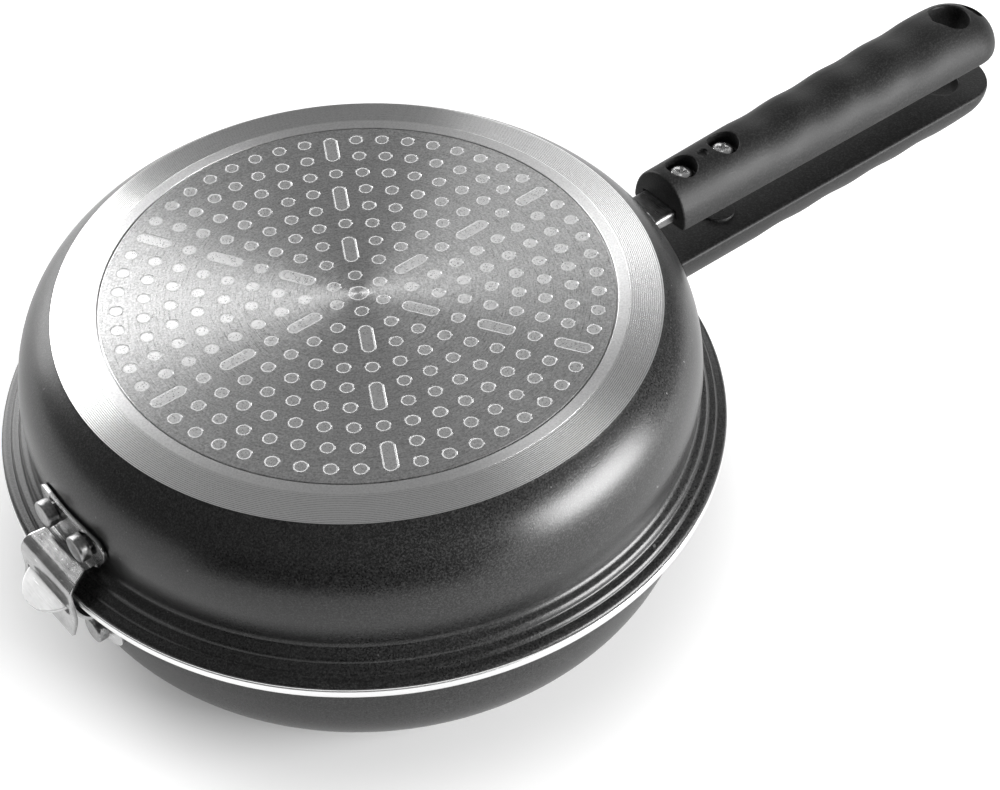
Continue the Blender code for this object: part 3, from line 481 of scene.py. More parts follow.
def panProfile(lip):
    # From the middle of the recess out over the base, up the wall and the stepped flange to the rim,
    # and back down the inside. The turned band is a slope with a shallow saw on it.
    q = panShape
    extra = lip - 1.0
    seat = np.linspace(0, q["recess"], 9)
    flat = np.array([83.4, 84.4, 85.4, 86.2])
    pitch, deep = q["groovePitch"], q["grooveDepth"]
    start = q["flat"] + 0.15 + pitch * np.arange(int((q["band"] - q["flat"] - 0.3) / pitch))
    saw = (start[:, None] + pitch * np.array([0, .36, .70])).ravel()
    rise = (saw - q["flat"]) / (q["band"] - q["flat"]) * q["bandRise"] + np.tile([0, deep, deep * .8], len(start))
    shoulder = cubic(*(np.array(v) for v in ((97.1, .86), (105.4, 6.52), (110.58, 13.73), (111.0, 29.6))), 26)
    outer = [(q["neck"] + a * (q["rim"] - q["neck"]), rimPlane - b * q["flange"] - extra) for a, b in flangeSteps]
    outer += [(q["rim"], rimPlane - lip), (q["rim"], rimPlane - q["landDrop"])]
    n, m = q["neck"] - q["sheet"], q["rim"] - q["rimWidth"]
    inner = [(n + a * (m - n), rimPlane - b * q["flange"] - extra * b) for a, b in flangeInside]
    inner.append((m, rimPlane - q["landDrop"]))
    edge = rounded([shoulder[-1]] + outer + inner[::-1] + [(108.8, 29.6)], q["soft"])
    well = cubic(*(np.array(v) for v in ((94.7, 4.5), (103.2, 4.5), (108.8, 15.8), (108.8, 29.6))), 20)[::-1]
    floor = np.array([94.7, 90, 84, 74, 60, 44, 28, 12, 0])
    return np.concatenate([
        np.stack([seat, q["recessDeep"] + hollow(seat)], 1),
        [(82.5, .30), (82.54, .16), (82.66, .08)], np.stack([flat, hollow(flat)], 1),
        [(86.27, .01), (86.34, .07), (86.41, .07), (86.48, 0), (86.58, .005)],
        np.stack([saw, rise], 1), [(96.98, .75), (97.04, .78), (97.08, .82)],
        shoulder[:-1], edge, well[1:], np.stack([floor, q["floor"] + hollow(floor)], 1)])


for body, lip in (("lower", 2.7), ("upper", 1.0)):
    verts, faces = lathe(panProfile(lip), panShape["segments"])
    pan = addMesh(body + "PanShell", verts, faces, finishes[body + "Pan"], 32)
    pan.data.materials.append(finishes["turned"])
    middle = np.empty(len(pan.data.polygons) * 3)
    pan.data.polygons.foreach_get("center", middle)
    middle = middle.reshape(-1, 3) / mm
    onBase = (np.hypot(middle[:, 0], middle[:, 1]) < 97.05) & (middle[:, 2] < 3)
    pan.data.polygons.foreach_set("material_index", onBase.astype(np.int32))
    if body == "upper":
        pan.data.transform(turnOver)
    settle(pan, body, "coated_pan", body + "_pan")
print("pans:", len(pan.data.polygons), "faces each")


# Induction discs
discShape = {"radius": 82.0, "rimEdge": 0.18, "thickness": 1.0, "pitch": 8.475, "rings": 9, "dotRings": (1, 4, 7),
             "slotSteps": (2.5, 5.5, 8.5), "dot": 2.35, "middle": 3.35, "slotHalf": 6.25, "around": 16,
             "edge": 0.13, "edgeDeep": 0.10, "studGap": 0.03}


def discHoles():
    # One row for each hole: x, y, turn, half of its straight part, radius. Ring k has 6k places, and
    # on the six spokes two rings out of three give way to slots.
    q = discShape
    rows = [(0, 0, 0, 0, q["middle"])]
    for ring in range(1, q["rings"] + 1):
        step = np.arange(6 * ring)
        if ring not in q["dotRings"]:
            step = step[step % ring != 0]
        a = step * 2 * np.pi / (6 * ring)
        rows += np.stack([ring * q["pitch"] * np.cos(a), ring * q["pitch"] * np.sin(a), a, a * 0, a * 0 + q["dot"]], 1).tolist()
    for spoke in np.arange(6) * np.pi / 3:
        for step in q["slotSteps"]:
            rows.append((step * q["pitch"] * math.cos(spoke), step * q["pitch"] * math.sin(spoke), spoke,
                         q["slotHalf"] - q["dot"], q["dot"]))
    return np.array(rows)


def outlines(holes, grow):
    # A circle, or two half circles pulled apart along the spoke, grown by so many mm.
    a = (np.arange(discShape["around"]) + 0.5) * 2 * np.pi / discShape["around"]
    x = holes[:, 3:4] * np.sign(np.cos(a)) + (holes[:, 4:5] + grow) * np.cos(a)
    y = (holes[:, 4:5] + grow) * np.sin(a)
    c, s = np.cos(holes[:, 2:3]), np.sin(holes[:, 2:3])
    return np.stack([holes[:, 0:1] + x * c - y * s, holes[:, 1:2] + x * s + y * c], -1)


def layer(flat, deep):
    # Points at one depth under the dished face.
    return np.column_stack([flat, hollow(np.hypot(flat[:, 0], flat[:, 1])) + deep])


def loopWalls(low, high, loops, around, outward):
    # Quads between two layers for loops of so many points each.
    k = np.arange(loops * around)
    n = k // around * around + (k + 1) % around
    quads = np.stack([low + k, low + n, high + n, high + k], 1)
    return quads if outward else quads[:, ::-1]


def discMesh():
    q = discShape
    holes, around = discHoles(), q["around"]
    rimCount = 160
    a = np.arange(rimCount) * 2 * np.pi / rimCount
    circle = np.stack([np.cos(a), np.sin(a)], 1)
    face = np.concatenate([circle * (q["radius"] - q["rimEdge"]), outlines(holes, q["edge"]).reshape(-1, 2)])
    under = np.concatenate([circle * q["radius"], outlines(holes, 0).reshape(-1, 2)])
    k = np.arange(len(face))
    after = np.where(k < rimCount, (k + 1) % rimCount, rimCount + (k - rimCount) // around * around + (k - rimCount + 1) % around)
    flat, _, tris, *_ = delaunay_2d_cdt([Vector(v) for v in face], np.stack([k, after], 1).tolist(), [], 0, 1e-7)
    tris = np.array([t for t in tris if len(t) == 3])
    middle = face[tris].mean(1)
    turn = holes[None, :, 2]
    gap = middle[:, None] - holes[None, :, :2]
    along = gap[..., 0] * np.cos(turn) + gap[..., 1] * np.sin(turn)
    across = -gap[..., 0] * np.sin(turn) + gap[..., 1] * np.cos(turn)
    away = np.hypot(np.maximum(abs(along) - holes[None, :, 3], 0), across) - holes[None, :, 4]
    tris = tris[(away > 0).all(1)]          # what lies in a hole goes
    size = len(face)
    verts = np.concatenate([layer(face, 0), layer(under, q["edgeDeep"]), layer(under, q["thickness"])])
    parts = [tris[:, ::-1], tris + 2 * size]
    faces = [f for part in parts for f in part.tolist()]
    for low in (0, size):
        faces += loopWalls(low, low + size, 1, rimCount, True).tolist()
        faces += loopWalls(low + rimCount, low + size + rimCount, len(holes), around, False).tolist()
    print("disc:", len(holes), "holes,", len(flat) - size, "points added")
    return verts, faces


def studMesh():
    # The pan's own metal pressed up into each hole: a short pillar with a rounded rim, which carries a painted
    # highlight, round a face that lies a little lower.
    q = discShape
    holes, around = discHoles(), q["around"]
    steps = [(-0.44, 0.10), (-0.38, 0.06), (-0.10, 0.05), (-0.01, 0.08)]
    rings = [layer(outlines(holes, grow - q["studGap"]).reshape(-1, 2), deep) for grow, deep in steps]
    rings.append(layer(outlines(holes, -q["studGap"]).reshape(-1, 2), panShape["recessDeep"] - 0.01))
    size = len(holes) * around
    caps = np.arange(size).reshape(-1, around)
    faces = caps[:, ::-1].tolist() + (caps + 4 * size).tolist()
    for k in range(4):
        faces += loopWalls(k * size, (k + 1) * size, len(holes), around, True).tolist()
    return np.concatenate(rings), faces, np.repeat([0, 1, 0], [2 * len(holes), 3 * size, size])


disc = addMesh("lowerBaseDisc", *discMesh(), finishes["disc"])
disc.data.shade_flat()
verts, faces, rim = studMesh()
studs = addMesh("lowerBaseStuds", verts, faces, finishes["stud"])
# the rim faces get the painted highlight finish
studs.data.materials.append(finishes["studRimHighlight"])
studs.data.polygons.foreach_set("material_index", rim.astype(np.int32))
studs.data.shade_flat()
for body, plate, pins in (("lower", disc, studs), ("upper", turned(disc, "upperBaseDisc"), turned(studs, "upperBaseStuds"))):
    settle(plate, body, "induction_disc", body + "_induction_disc")
    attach(pins, body)
print("base discs done")


# Pressed sheet: the tables give distance from the pan's middle, drop below the rims, half width,
# share that follows the round wall, share folded down at the sides and depth of that fold, in mm
sheetShape = {"hinge": 1.2, "bracket": 1.5, "gap": 0.3, "foot": 11.6, "edge": 0.22}
plateShares = [(1.00, .60), (.95, .82), (.80, .97), (.52, 1.00), (.20, .86), (.00, .74)]
bracketPlate = [(1.00, .50), (.90, .83), (.60, 1.00), (.25, 1.00), (.00, .90)]
hookTop = [(.01, .93, .76), (.06, .885, .76), (.15, .92, .77), (.25, .965, .79), (.49, .91, .86), (.72, .835, .92),
           (.93, .64, .95), (1.00, .38, .98), (1.00, .00, 1.00)]
hookBottom = [(1.00, .404, 1.00), (1.045, .64, 1.00), (1.165, 1.00, 1.00)]
armShares = [(.02, .945, 1.06), (.10, .905, 1.02), (.28, .945, 1.01), (.59, .815, 1.00), (.81, .575, .99),
             (.94, .32, .99), (.965, .17, .99)]
neckShares = [(.02, -.36, .10), (.09, -.54, .25), (.25, -.42, .55), (.55, .15, .85), (.85, .80, 1.0)]


def foldLine(share, half, deep, bend):
    # A walk along half of a channel's section, flat, round the bend and down its side, as shares
    # (across / half, down / deep).
    total = half - bend + bend * np.pi / 2 + deep - bend
    d = np.abs(share) * total
    a = np.clip((d - (half - bend)) / bend, 0, np.pi / 2)
    rest = np.maximum(d - (half - bend + bend * np.pi / 2), 0)
    across = np.minimum(d, half - bend) + bend * np.sin(a)
    return across / half, (bend * (1 - np.cos(a)) + rest) / deep


def sheetGrid(rows, shares, side, half=8.2, deep=4.0, bend=1.6):
    # x = side * distance, bent to the round wall where the row follows it; y = share * half width,
    # run through the channel's section where the row is folded; z from the drop and the fold.
    distance, drop, wide, follow, fold, flange = (rows[:, k:k + 1] for k in range(6))
    across, down = foldLine(shares, half, deep, bend)
    y = wide * ((1 - fold) * np.abs(shares) + fold * across) * np.sign(shares)
    roundX = np.sqrt(np.maximum(distance ** 2 - y ** 2, 0))
    x = side * (follow * roundX + (1 - follow) * distance)
    return np.stack([x, y, np.broadcast_to(rimPlane - drop + flange * down, y.shape)], -1)


def sheetPiece(name, grid, gone, side, thickness, material):
    # The outer face of a grid, less the cells marked gone, given its thickness inwards and soft edges.
    rows, cols = grid.shape[:2]
    faces = gridFaces(rows, cols, flip=side < 0)[~gone.ravel()]
    used, again = np.unique(faces, return_inverse=True)
    obj = addMesh(name, grid.reshape(-1, 3)[used], again.reshape(faces.shape), material)
    wall = obj.modifiers.new("wall", "SOLIDIFY")
    wall.thickness, wall.offset, wall.use_even_offset = thickness * mm, -1, True
    # the cut edges take the painted edge highlight
    obj.data.materials.append(finishes["cutEdgeHighlight"])
    wall.material_offset_rim = 1
    soft = obj.modifiers.new("soft edge", "BEVEL")
    soft.width, soft.segments, soft.limit_method, soft.angle_limit = sheetShape["edge"] * mm, 2, "ANGLE", math.radians(55)
    soft.harden_normals = False
    return bake(obj, [], 42)


def plateRows(shares, foot, height, half, face):
    return [(face, foot + up * height, wide * half, 1, 0, 0) for up, wide in shares]


def slotCorner(grid, row, edgeRow, col, edgeCol, radius):
    # Rounds one corner of the slot: points along its two edges within radius of the corner move on to
    # a quarter circle, each edge taking half of it.
    corner = grid[row, col].copy()
    inY, inZ = np.sign(grid[row, edgeCol, 1] - corner[1]), np.sign(grid[edgeRow, col, 2] - corner[2])
    centre = corner[1:] + radius * np.array([inY, inZ])
    for index, axis in ((row, 0), (col, 1)):
        line = grid[index, :, :] if axis == 0 else grid[:, index, :]
        lo, hi = sorted((col, edgeCol)) if axis == 0 else sorted((row, edgeRow))
        part = line[lo:hi + 1]
        near = radius - np.abs(part[:, 1 + axis] - corner[1 + axis])
        a = np.clip(near / radius, 0, 1) * np.pi / 4
        hit = near > 0
        long, cross = centre[axis] - (inY, inZ)[axis] * radius * np.sin(a), centre[1 - axis] - (inY, inZ)[1 - axis] * radius * np.cos(a)
        part[hit, 1 + axis] = long[hit]
        part[hit, 2 - axis] = cross[hit]


def hook():
    # Down the wall, over the stepped rims, past them and out, with a slot for the tongue.
    q = {"face": 112.5, "foot": 11.6, "height": 13.9, "half": 17.8, "reach": 123.4, "slotTop": 1.1, "drop": 9.4,
         "hookHalf": 14.5, "slotHalf": 12.0, "corner": 1.6, "lip": 0.45, "lipDeep": 1.5, "steps": 6}
    rows = plateRows(plateShares, q["foot"], q["height"], q["half"], q["face"])
    out = q["reach"] - q["face"]
    for index, (reach, deep, wide) in enumerate(hookTop):
        rows.append((q["face"] + reach * out, q["slotTop"] + deep * (q["foot"] - q["slotTop"]), wide * q["hookHalf"],
                     max(0, 1 - (index + 1) / 3), 0, 0))
    slotStart = (len(rows) - 1) * q["steps"]
    for reach, deep, wide in hookBottom:
        rows.append((q["face"] + reach * out, -deep * q["drop"], wide * q["hookHalf"], 0, 0, 0))
    slotEnd = slotStart + q["steps"]
    rows = flowing(rows, q["steps"])
    edge = q["slotHalf"] / q["hookHalf"]
    shares = np.concatenate([np.linspace(-1, -edge, 5)[:-1], np.linspace(-edge, edge, 27), np.linspace(edge, 1, 5)[1:]])
    grid = sheetGrid(rows, shares, -1)
    left, right = 4, 30
    lift = np.clip((q["slotTop"] + q["lipDeep"] - rows[:, 1]) / q["lipDeep"], 0, 1) * (np.arange(len(rows)) <= slotStart)
    lift = lift ** 2 * (np.arange(len(rows)) >= slotStart - 2 * q["steps"])
    inSlot = 1 / (1 + np.exp((np.abs(grid[..., 1]) - q["slotHalf"] - 0.3) / 0.25))
    grid[..., 0] -= q["lip"] * lift[:, None] * inSlot
    middle = (slotStart + slotEnd) // 2
    for row, inner in ((slotStart, middle), (slotEnd, middle)):
        for col in (left, right):
            slotCorner(grid, row, inner, col, (left + right) // 2, q["corner"])
    gone = np.zeros((len(rows) - 1, len(shares) - 1), bool)
    gone[slotStart:slotEnd, left:right] = True
    return sheetPiece("upperHingeHook", grid, gone, -1, sheetShape["hinge"], finishes["hingeSheet"])


def tongue():
    # Up the wall, out under the rim and over into a round tongue: half widths of the tongue follow a
    # circle round its middle.
    q = {"face": 112.5, "foot": 13.3, "height": 12.2, "half": 17.8, "crest": 122.1, "crestDrop": 1.4, "armHalf": 10.7,
         "tip": 130.8, "radius": 11.2, "fall": 1.9, "steps": 5}
    rows = plateRows(plateShares, q["foot"], q["height"], q["half"], q["face"])
    for index, (reach, deep, wide) in enumerate(armShares):
        rows.append((q["face"] + reach * (q["crest"] - q["face"]), deep * q["foot"], wide * q["armHalf"],
                     max(0, 1 - (index + 1) / 3), 0, 0))
    rows.append((q["crest"], q["crestDrop"], q["armHalf"], 0, 0, 0))
    rows = flowing(rows, q["steps"])
    middle = q["tip"] - q["radius"]
    a = np.linspace(math.acos((q["crest"] + 0.8 - middle) / q["radius"]), math.radians(7), 18)
    x = middle + q["radius"] * np.cos(a)
    share = (x - q["crest"]) / (q["tip"] - q["crest"])
    disc = np.column_stack([x - 0.12, q["crestDrop"] + share * q["fall"], q["radius"] * np.sin(a), x * 0, x * 0, x * 0])
    rows = np.concatenate([rows, disc])
    shares = np.sin(np.linspace(-np.pi / 2, np.pi / 2, 29)) * 0.6 + np.linspace(-1, 1, 29) * 0.4
    grid = sheetGrid(rows, shares, -1)
    gone = np.zeros((len(rows) - 1, len(shares) - 1), bool)
    return sheetPiece("lowerHingeTongue", grid, gone, -1, sheetShape["hinge"], finishes["litTongueSheet"])


def handleBracket():
    # A plate on the wall that narrows into a channel running inside the handle.
    q = {"face": 112.8, "foot": 13.3, "height": 12.7, "half": 18.0, "start": 126.0, "end": 170.0, "channelHalf": 8.2,
         "channelDrop": 14.1, "flange": 4.0, "steps": 5}
    rows = plateRows(bracketPlate, q["foot"], q["height"], q["half"], q["face"])
    footHalf = rows[-1][2]
    for reach, deep, narrow in neckShares:
        rows.append((q["face"] + reach * (q["start"] - q["face"]), q["foot"] + deep * (q["channelDrop"] - q["foot"]),
                     footHalf + narrow * (q["channelHalf"] - footHalf), 0, narrow, reach * q["flange"]))
    for distance in (q["start"], (q["start"] + q["end"]) / 2, q["end"]):
        rows.append((distance, q["channelDrop"], q["channelHalf"], 0, 1, q["flange"]))
    rows = flowing(rows, q["steps"])
    shares = np.linspace(-1, 1, 41)
    grid = sheetGrid(rows, shares, 1)
    gone = np.zeros((len(rows) - 1, len(shares) - 1), bool)
    return sheetPiece("lowerHandleBracket", grid, gone, 1, sheetShape["bracket"], finishes["bracketSheet"])


hookPiece = hook()
hookPiece.data.transform(turnOver)
settle(hookPiece, "upper", "hinge_sheet", "upper_hinge_bracket")
settle(tongue(), "lower", "hinge_sheet", "lower_hinge_bracket")
arm = handleBracket()
settle(turned(arm, "upperHandleBracket"), "upper", "bracket_steel", "upper_handle_bracket")
settle(arm, "lower", "bracket_steel", "lower_handle_bracket")
print("brackets done")


# Rivets
rivetShape = {"head": 4.5, "length": 3.6, "shank": 2.4, "back": 5.0, "backLength": 1.5, "edge": 0.55, "around": 48}


def rivet(name, side, y, drop, sheet):
    # A profile turned about its own axis, then laid along +X or -X: domed inner head, shank, and an
    # outer head with slightly barrelled sides, a raised rim and a dished face.
    q = rivetShape
    face = 111.3 + sheet
    seat = math.sqrt(face ** 2 - max(abs(y) - q["head"], 0) ** 2) + 0.3
    back = math.sqrt((108.0 * math.cos(math.pi / 36)) ** 2 - (abs(y) + q["back"]) ** 2) - 0.3
    a = np.linspace(0, np.pi / 2, 8)
    dome = np.stack([q["back"] * np.sin(a), back - q["backLength"] * np.cos(a)], 1)
    top = seat + q["length"]
    head = [(q["shank"], back), (q["shank"], seat), (4.30, seat), (4.42, seat + .25), (4.5, seat + 1.3), (4.5, top - 1.0),
            (4.44, top - .42), (4.22, top - .12), (3.9, top), (3.62, top - .02), (3.3, top - .12), (2.4, top - .17),
            (1.2, top - .19), (0, top - .2)]
    verts, faces = lathe(np.concatenate([dome, head]), q["around"])
    turn = np.array(Euler((0, math.copysign(math.pi / 2, side), 0)).to_matrix())
    verts = verts @ turn.T + [0, y, rimPlane - drop]
    return addMesh(name, verts, faces, finishes["rivet"], 50)


for where, side, offset, drop, sheet in (("hinge", -1, 9.1, 19.4, 1.2), ("bracket", 1, 11.0, 20.2, 1.5)):
    for letter, y in (("a", offset), ("b", -offset)):
        pin = rivet("lower" + where.title() + "Rivet" + letter.upper(), side, y, drop, sheet)
        node = where + "_rivet_" + letter
        settle(turned(pin, "upper" + where.title() + "Rivet" + letter.upper()), "upper", "rivet", "upper_" + node)
        settle(pin, "lower", "rivet", "lower_" + node)
print("rivets done")


# Handles: x from the pan's middle, fall below the flat face
handleShape = {"start": 132.6, "end": 304.85, "drop": 7.9, "height": 17.6, "frontHalf": 13.2, "endHalf": 17.0,
               "corner": 1.2, "frontEdge": 0.9, "wave": 1.1, "waveStart": 172.6, "waveLength": 25.0, "waves": 4,
               "tail": 37.0, "tailPower": 2.6, "around": 66}
wellShape = {"places": (142.5, 163.0), "radius": 5.8, "depth": 6.1, "mouth": 0.5}
hangShape = {"x": 284.0, "radius": 8.0, "tip": 2.6, "reach": 6.4, "mouth": 0.9}
tailMark = {"x": 297.2, "halfLong": 5.2, "halfWide": 2.6, "depth": 1.3, "mouth": 0.35}
bossShape = {"x": 163.0, "radius": 6.4, "height": 1.2}


def handleHalf(x):
    # A straight taper, then the half circle of the end.
    q = handleShape
    turn = q["end"] - q["endHalf"]
    taper = q["frontHalf"] + (x - q["start"]) / (turn - q["start"]) * (q["endHalf"] - q["frontHalf"])
    return np.where(x > turn, np.sqrt(np.maximum(q["endHalf"] ** 2 - (x - turn) ** 2, 0)), taper)


def handleHeight(x):
    # The crest with its finger waves, times a superellipse over the tail.
    q = handleShape
    along = x - q["waveStart"]
    wave = q["wave"] * (1 - np.cos(2 * np.pi * along / q["waveLength"])) / 2
    wave = np.where((along > 0) & (along < q["waves"] * q["waveLength"]), wave, 0)
    share = np.clip((x - q["end"] + q["tail"]) / q["tail"], 0, 1)
    return (q["height"] - wave) * (1 - share ** q["tailPower"]) ** (1 / q["tailPower"])


def domeFall(x, y):
    # How far the curved side lies below the flat at (x, y).
    w, h = handleHalf(x), handleHeight(x)
    c = np.minimum(np.minimum(handleShape["corner"], w / 3), h / 3)
    return c + (h - c) * np.sqrt(np.maximum(1 - (y / np.maximum(w, 1e-6)) ** 2, 0))


def handleBody():
    # D sections along x: a flat, two small round corners and half an ellipse. The first rings draw in
    # round the front edge, and the last close on the tip.
    q = handleShape
    a = np.linspace(0, np.pi / 2, 5)
    x = [q["start"] + q["frontEdge"] * (1 - np.cos(a)), np.arange(q["start"] + 2, q["end"] - q["endHalf"], 1.3)]
    t = np.linspace(0, math.radians(88.5), 26)
    x.append(q["end"] - q["endHalf"] + q["endHalf"] * np.sin(t))
    x = np.concatenate(x)[:, None]
    shrink = np.zeros_like(x)
    shrink[:5, 0] = q["frontEdge"] * (1 - np.sin(a))
    w, h = handleHalf(x) - shrink, handleHeight(x) - shrink
    c = np.minimum(np.minimum(q["corner"], w / 3), h / 3)
    b = np.linspace(0, np.pi / 2, 5)[:-1]
    p = np.linspace(0, np.pi, q["around"])
    flat = np.linspace(-1, 1, 11)[:-1]
    y = np.concatenate([w - c + c * np.sin(b), w * np.cos(p), -(w - c + c * np.sin(b[::-1])), (w - c) * flat[1:]], 1)
    fall = np.concatenate([c * (1 - np.cos(b)), c + (h - c) * np.sin(p), c * (1 - np.cos(b[::-1])), 0 * w * flat[1:]], 1)
    verts = np.stack([np.broadcast_to(x, y.shape), y, rimPlane - q["drop"] - fall], -1)
    rows, cols = y.shape
    faces = gridFaces(rows, cols, closeCols=True, flip=True).tolist()
    faces += [list(range(cols)), [(rows - 1) * cols + k for k in range(cols)][::-1]]
    return addMesh("lowerHandleGrip", verts.reshape(-1, 3), faces, finishes["bakelite"], 34)


def circleLine(x, radius, count):
    a = np.arange(count) * 2 * np.pi / count
    return np.stack([x + radius * np.cos(a), radius * np.sin(a)], 1)


def evenly(points, count):
    # The closed line again, as points at even steps along it.
    p = np.concatenate([points, points[:1]])
    d = np.concatenate([[0], np.cumsum(np.linalg.norm(np.diff(p, axis=0), axis=1))])
    at = np.arange(count) / count * d[-1]
    return np.stack([np.interp(at, d, p[:, 0]), np.interp(at, d, p[:, 1])], 1)


def opening(name, line, mouth, depth=None, through=False):
    # A cutter for a hole in the curved side. Its wall follows the outline, and near the surface it
    # flares out on a quarter circle, offset mouth * (1 - cos a) at a height mouth * sin a, so the edge
    # of the hole is rounded and keeps to the curve of the grip.
    t = np.roll(line, -1, 0) - np.roll(line, 1, 0)
    out = np.stack([t[:, 1], -t[:, 0]], 1) / np.linalg.norm(t, axis=1)[:, None]
    a = np.radians([0, 18, 36, 54, 70])
    wide = line + out * mouth * (1 - math.cos(a[-1]))
    surface = domeFall(wide[:, 0], wide[:, 1])
    rings = []
    if through:
        for angle in a[::-1]:
            rings.append((mouth * (1 - math.cos(angle)), mouth * (math.sin(a[-1]) - math.sin(angle)) - 0.02 + 0 * surface))
        rings.insert(0, (rings[0][0] + 0.4, surface * 0 - 3))
    else:
        rings += [(-0.35, surface - depth if depth < 2 else surface * 0 + handleShape["height"] - depth),
                  (0, floorRings(surface, depth))]
    for angle in a:
        rings.append((mouth * (1 - math.cos(angle)), surface - mouth * (math.sin(a[-1]) - math.sin(angle)) + 0.02))
    rings.append((rings[-1][0] + 0.4, surface + 5))
    points = [np.column_stack([line + out * grow, rimPlane - handleShape["drop"] - fall]) for grow, fall in rings]
    return cutter(name, np.array(points))


def floorRings(surface, depth):
    return (surface - depth if depth < 2 else surface * 0 + handleShape["height"] - depth) + 0.3


def handleGrip():
    grip = handleBody()
    tools = []
    for k, x in enumerate(wellShape["places"]):
        tools.append(opening("well" + str(k), circleLine(x, wellShape["radius"], 56), wellShape["mouth"], wellShape["depth"]))
    q = hangShape
    side = math.acos((q["tip"] - q["radius"]) / q["reach"])
    big, small = np.linspace(-side, side, 60), np.linspace(side, 2 * np.pi - side, 30)
    drop = np.concatenate([np.stack([q["x"] + q["radius"] * np.cos(big), q["radius"] * np.sin(big)], 1),
                           np.stack([q["x"] - q["reach"] + q["tip"] * np.cos(small), q["tip"] * np.sin(small)], 1)])
    tools.append(opening("hang", evenly(drop, 88), q["mouth"], through=True))
    q = tailMark
    a = np.arange(48) * 2 * np.pi / 48
    oval = np.stack([q["x"] + q["halfWide"] * np.cos(a), np.sign(np.sin(a)) * (q["halfLong"] - q["halfWide"]) * (np.abs(np.sin(a)) > 1e-9)
                     + q["halfWide"] * np.sin(a)], 1)
    tools.append(opening("tailOval", evenly(oval, 56), q["mouth"], q["depth"]))
    tools.append(opening("pinMark", circleLine(152.75, 2.0, 32), 0.25, 0.9))
    # the pocket that the bracket's channel runs in
    half, low, high = 8.5, 10.0, 14.4
    pocket = np.array([(-half, low), (-half, high), (half, high), (half, low), (6.4, low), (6.4, 12.3), (-6.4, 12.3), (-6.4, low)])
    tools.append(cutter("pocket", np.array([np.column_stack([pocket[:, :1] * 0 + x, pocket[:, :1], rimPlane - pocket[:, 1:]])
                                            for x in (128.0, 170.3)])))
    cut(grip, tools, 34)
    q = bossShape
    a = np.arange(56) * 2 * np.pi / 56
    level = rimPlane - handleShape["drop"]
    boss = [(q["radius"], -1.0), (q["radius"], q["height"] - .35), (q["radius"] - .12, q["height"] - .1),
            (q["radius"] - .4, q["height"]), (2.6, q["height"]), (2.5, q["height"] - .15), (2.3, q["height"] - .6)]
    return cut(grip, [cutter("boss", np.array([np.column_stack([q["x"] + r * np.cos(a), r * np.sin(a), level + up + 0 * a])
                                               for r, up in boss]))], 34, "UNION")


grip = handleGrip()
settle(turned(grip, "upperHandleGrip"), "upper", "bakelite", "upper_handle")
settle(grip, "lower", "bakelite", "lower_handle")
print("handles:", len(grip.data.polygons), "faces each")


# Screws
screwShape = {"head": 4.0, "high": 2.6, "shank": 2.0, "length": 9.7, "barHalf": 0.55, "barLong": 2.4, "deep": 1.3}


def screw(name, x):
    # A polar grid: a low domed head whose height drops in a cross, its rounded rim, and the shank.
    # The cross is the larger of two bars, each smooth at its sides and shallower towards its ends.
    q = screwShape
    count = 96
    a = (np.arange(count) + 0.5) * 2 * np.pi / count
    r = np.concatenate([np.linspace(0.02, 0.66, 34), [.72, .79, .84, .89, .93, .957, .98, .994, 1]])[:, None] * q["head"]
    px, py = r * np.cos(a), r * np.sin(a)

    def ramp(v):
        v = np.clip(v, 0, 1)
        return v * v * (3 - 2 * v)

    def bar(u, v):
        return ramp((q["barHalf"] + .08 - np.abs(v)) / .16) * ramp((q["barLong"] - np.abs(u)) / .5)
    cross = np.maximum(bar(px, py), bar(py, px))
    edge = np.sqrt(np.maximum(1 - np.clip((r - q["head"] + 0.9) / 0.9, 0, 1) ** 2, 0))
    up = q["high"] - 0.9 * (1 - edge) - 0.3 * (r / q["head"]) ** 2 - q["deep"] * cross * (1 - 0.25 * r / q["barLong"])
    rings = [np.stack([px, py, up], -1)]
    for radius, level in ((q["head"], 0.9), (q["head"], 0.0), (q["shank"], 0.0), (q["shank"], -q["length"])):
        rings.append(np.stack([radius * np.cos(a), radius * np.sin(a), level + 0 * a], -1)[None])
    rings = np.concatenate(rings)
    turn = math.radians(38)
    c, s = math.cos(turn), math.sin(turn)
    verts = rings.reshape(-1, 3) @ np.array([[c, s, 0], [-s, c, 0], [0, 0, 1]])
    # its head looks down from the lower handle, so it is laid over about X
    verts = verts * [1, -1, -1] + [x, 0, rimPlane - handleShape["drop"] - (handleShape["height"] - wellShape["depth"] + 0.3)]
    rows = len(rings)
    faces = gridFaces(rows, count, closeCols=True, flip=True).tolist()
    faces += [list(range(count))[::-1], [(rows - 1) * count + k for k in range(count)]]
    obj = addMesh(name, verts, [f[::-1] for f in faces], finishes["screw"], 50)
    return obj


for label, x in zip(("front", "rear"), wellShape["places"]):
    pin = screw("lowerScrew" + label.title(), x)
    bm = bmesh.new()
    bm.from_mesh(pin.data)
    bmesh.ops.recalc_face_normals(bm, faces=bm.faces)
    bm.to_mesh(pin.data)
    bm.free()
    settle(turned(pin, "upperScrew" + label.title()), "upper", "screw", "upper_handle_screw_" + label)
    settle(pin, "lower", "screw", "lower_handle_screw_" + label)
print("screws done")


# Floor, lights and camera
studio = {"floorTone": 0.80, "glowInPaintedShadow": 0.20, "glowBeyondPaintedShadow": 0.34, "world": 0.22, "back": 17.8, "side": 2.0, "right": 29}


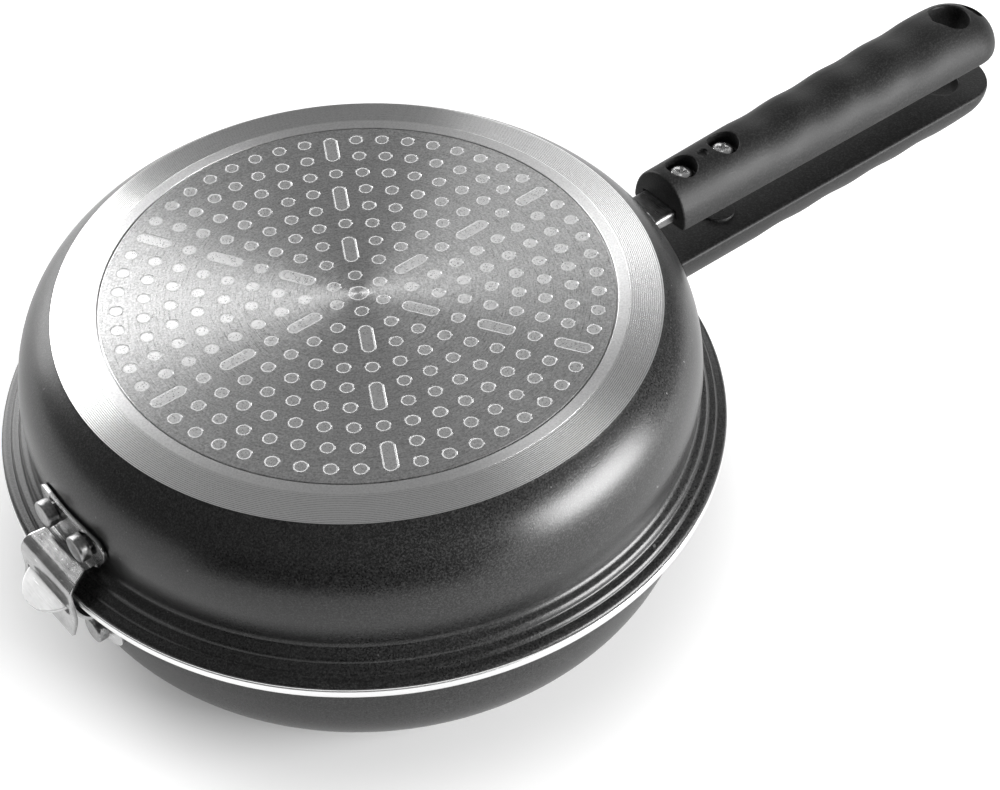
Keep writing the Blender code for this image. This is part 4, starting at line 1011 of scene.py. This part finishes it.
def floorFinish():
    # White to the camera and in reflections by a little light of its own. That glow is weaker within about 0.1 to 0.15
    # m of the middle, a painted shadow round the pans, and the matt part is dimmed where the lamps' light is shaded.
    s = Shade("floorFinish")
    tone = studio["floorTone"]
    path = [s.node("ShaderNodeLightPath", out=name) for name in ("Is Camera Ray", "Is Glossy Ray", "Is Transmission Ray")]
    seen = path[0].most(path[1]).most(path[2])
    x, y, z = s.axes(s.node("ShaderNodeTexCoord", out="Object"))
    # painted shadow: less glow close to the pans' middle, more beyond
    lift = studio["glowInPaintedShadow"] + (x * x + y * y).root().rise(0.104, 0.15) * studio["glowBeyondPaintedShadow"]
    matt = s.node("ShaderNodeBsdfDiffuse", {}, {"Color": (tone, tone, tone, 1)})
    glow = s.node("ShaderNodeEmission", {}, {"Color": (1, 1, 1, 1), "Strength": seen * lift})
    both = s.node("ShaderNodeAddShader", {}, {0: matt, 1: glow})
    end = s.tree.nodes.new("ShaderNodeOutputMaterial")
    s.tree.links.new(both.socket, end.inputs["Surface"])
    return s.material


size = 4000
u, v = np.meshgrid(np.linspace(-size, size, 3), np.linspace(-size, size, 3), indexing="ij")
floor = addMesh("studioFloor", np.stack([u, v, 0 * u - 0.02], -1).reshape(-1, 3), gridFaces(3, 3), floorFinish())


def softBox(name, direction, distance, width, height, watts, aim=(0, 0, 0.06)):
    # A flat lamp out along a direction, facing the pans.
    lamp = bpy.data.lights.new(name, "AREA")
    lamp.shape, lamp.size, lamp.size_y, lamp.energy = "RECTANGLE", width, height, watts
    obj = bpy.data.objects.new(name, lamp)
    way = Vector(direction).normalized()
    obj.location = Vector(aim) + way * distance
    obj.rotation_euler = way.to_track_quat("Z", "Y").to_euler()
    bpy.context.collection.objects.link(obj)
    return obj


softBox("backBox", (-0.10, 0.92, 0.39), 1.4, 1.0, 1.15, studio["back"])
softBox("sideBox", (0.80, 0.50, 0.38), 1.3, 0.65, 0.5, studio["side"])
softBox("rightBox", (0.52, -0.83, 0.20), 1.2, 0.75, 0.55, studio["right"])


def darkCard(radius, start, stop, height):
    # A matt black card on the camera's side, a piece of a cylinder: radius * (cos a, sin a), z. It keeps
    # the far floor out of the near wall's reflections and isn't seen itself.
    s = Shade("cardFinish")
    s.finish(Base_Color=(0.01,) * 3, Roughness=0.9)
    a, z = np.meshgrid(np.radians(np.linspace(start, stop, 25)), np.linspace(0, height, 3), indexing="ij")
    card = addMesh("darkCard", np.stack([radius * np.cos(a), radius * np.sin(a), z], -1).reshape(-1, 3),
                   gridFaces(25, 3), s.material)
    card.visible_camera = card.visible_shadow = card.visible_diffuse = False


darkCard(330, 190, 262, 140)

world = bpy.data.worlds.new("studioWorld")
bpy.context.scene.world = world
world.use_nodes = True
backdrop = world.node_tree.nodes["Background"]
backdrop.inputs["Color"].default_value = (1, 1, 1, 1)
backdrop.inputs["Strength"].default_value = studio["world"]

lens = bpy.data.cameras.new("photoCamera")
lens.lens, lens.sensor_width, lens.clip_start, lens.clip_end = 76.905, 36, 0.01, 20
camera = bpy.data.objects.new("photoCamera", lens)
camera.location = (-0.28242780, -0.41187884, 0.56029961)
camera.rotation_euler = [math.radians(v) for v in (44.34591256, 0.33287523, -39.9144012)]
bpy.context.collection.objects.link(camera)
bpy.context.scene.camera = camera
bpy.context.scene.view_settings.view_transform = "Standard"
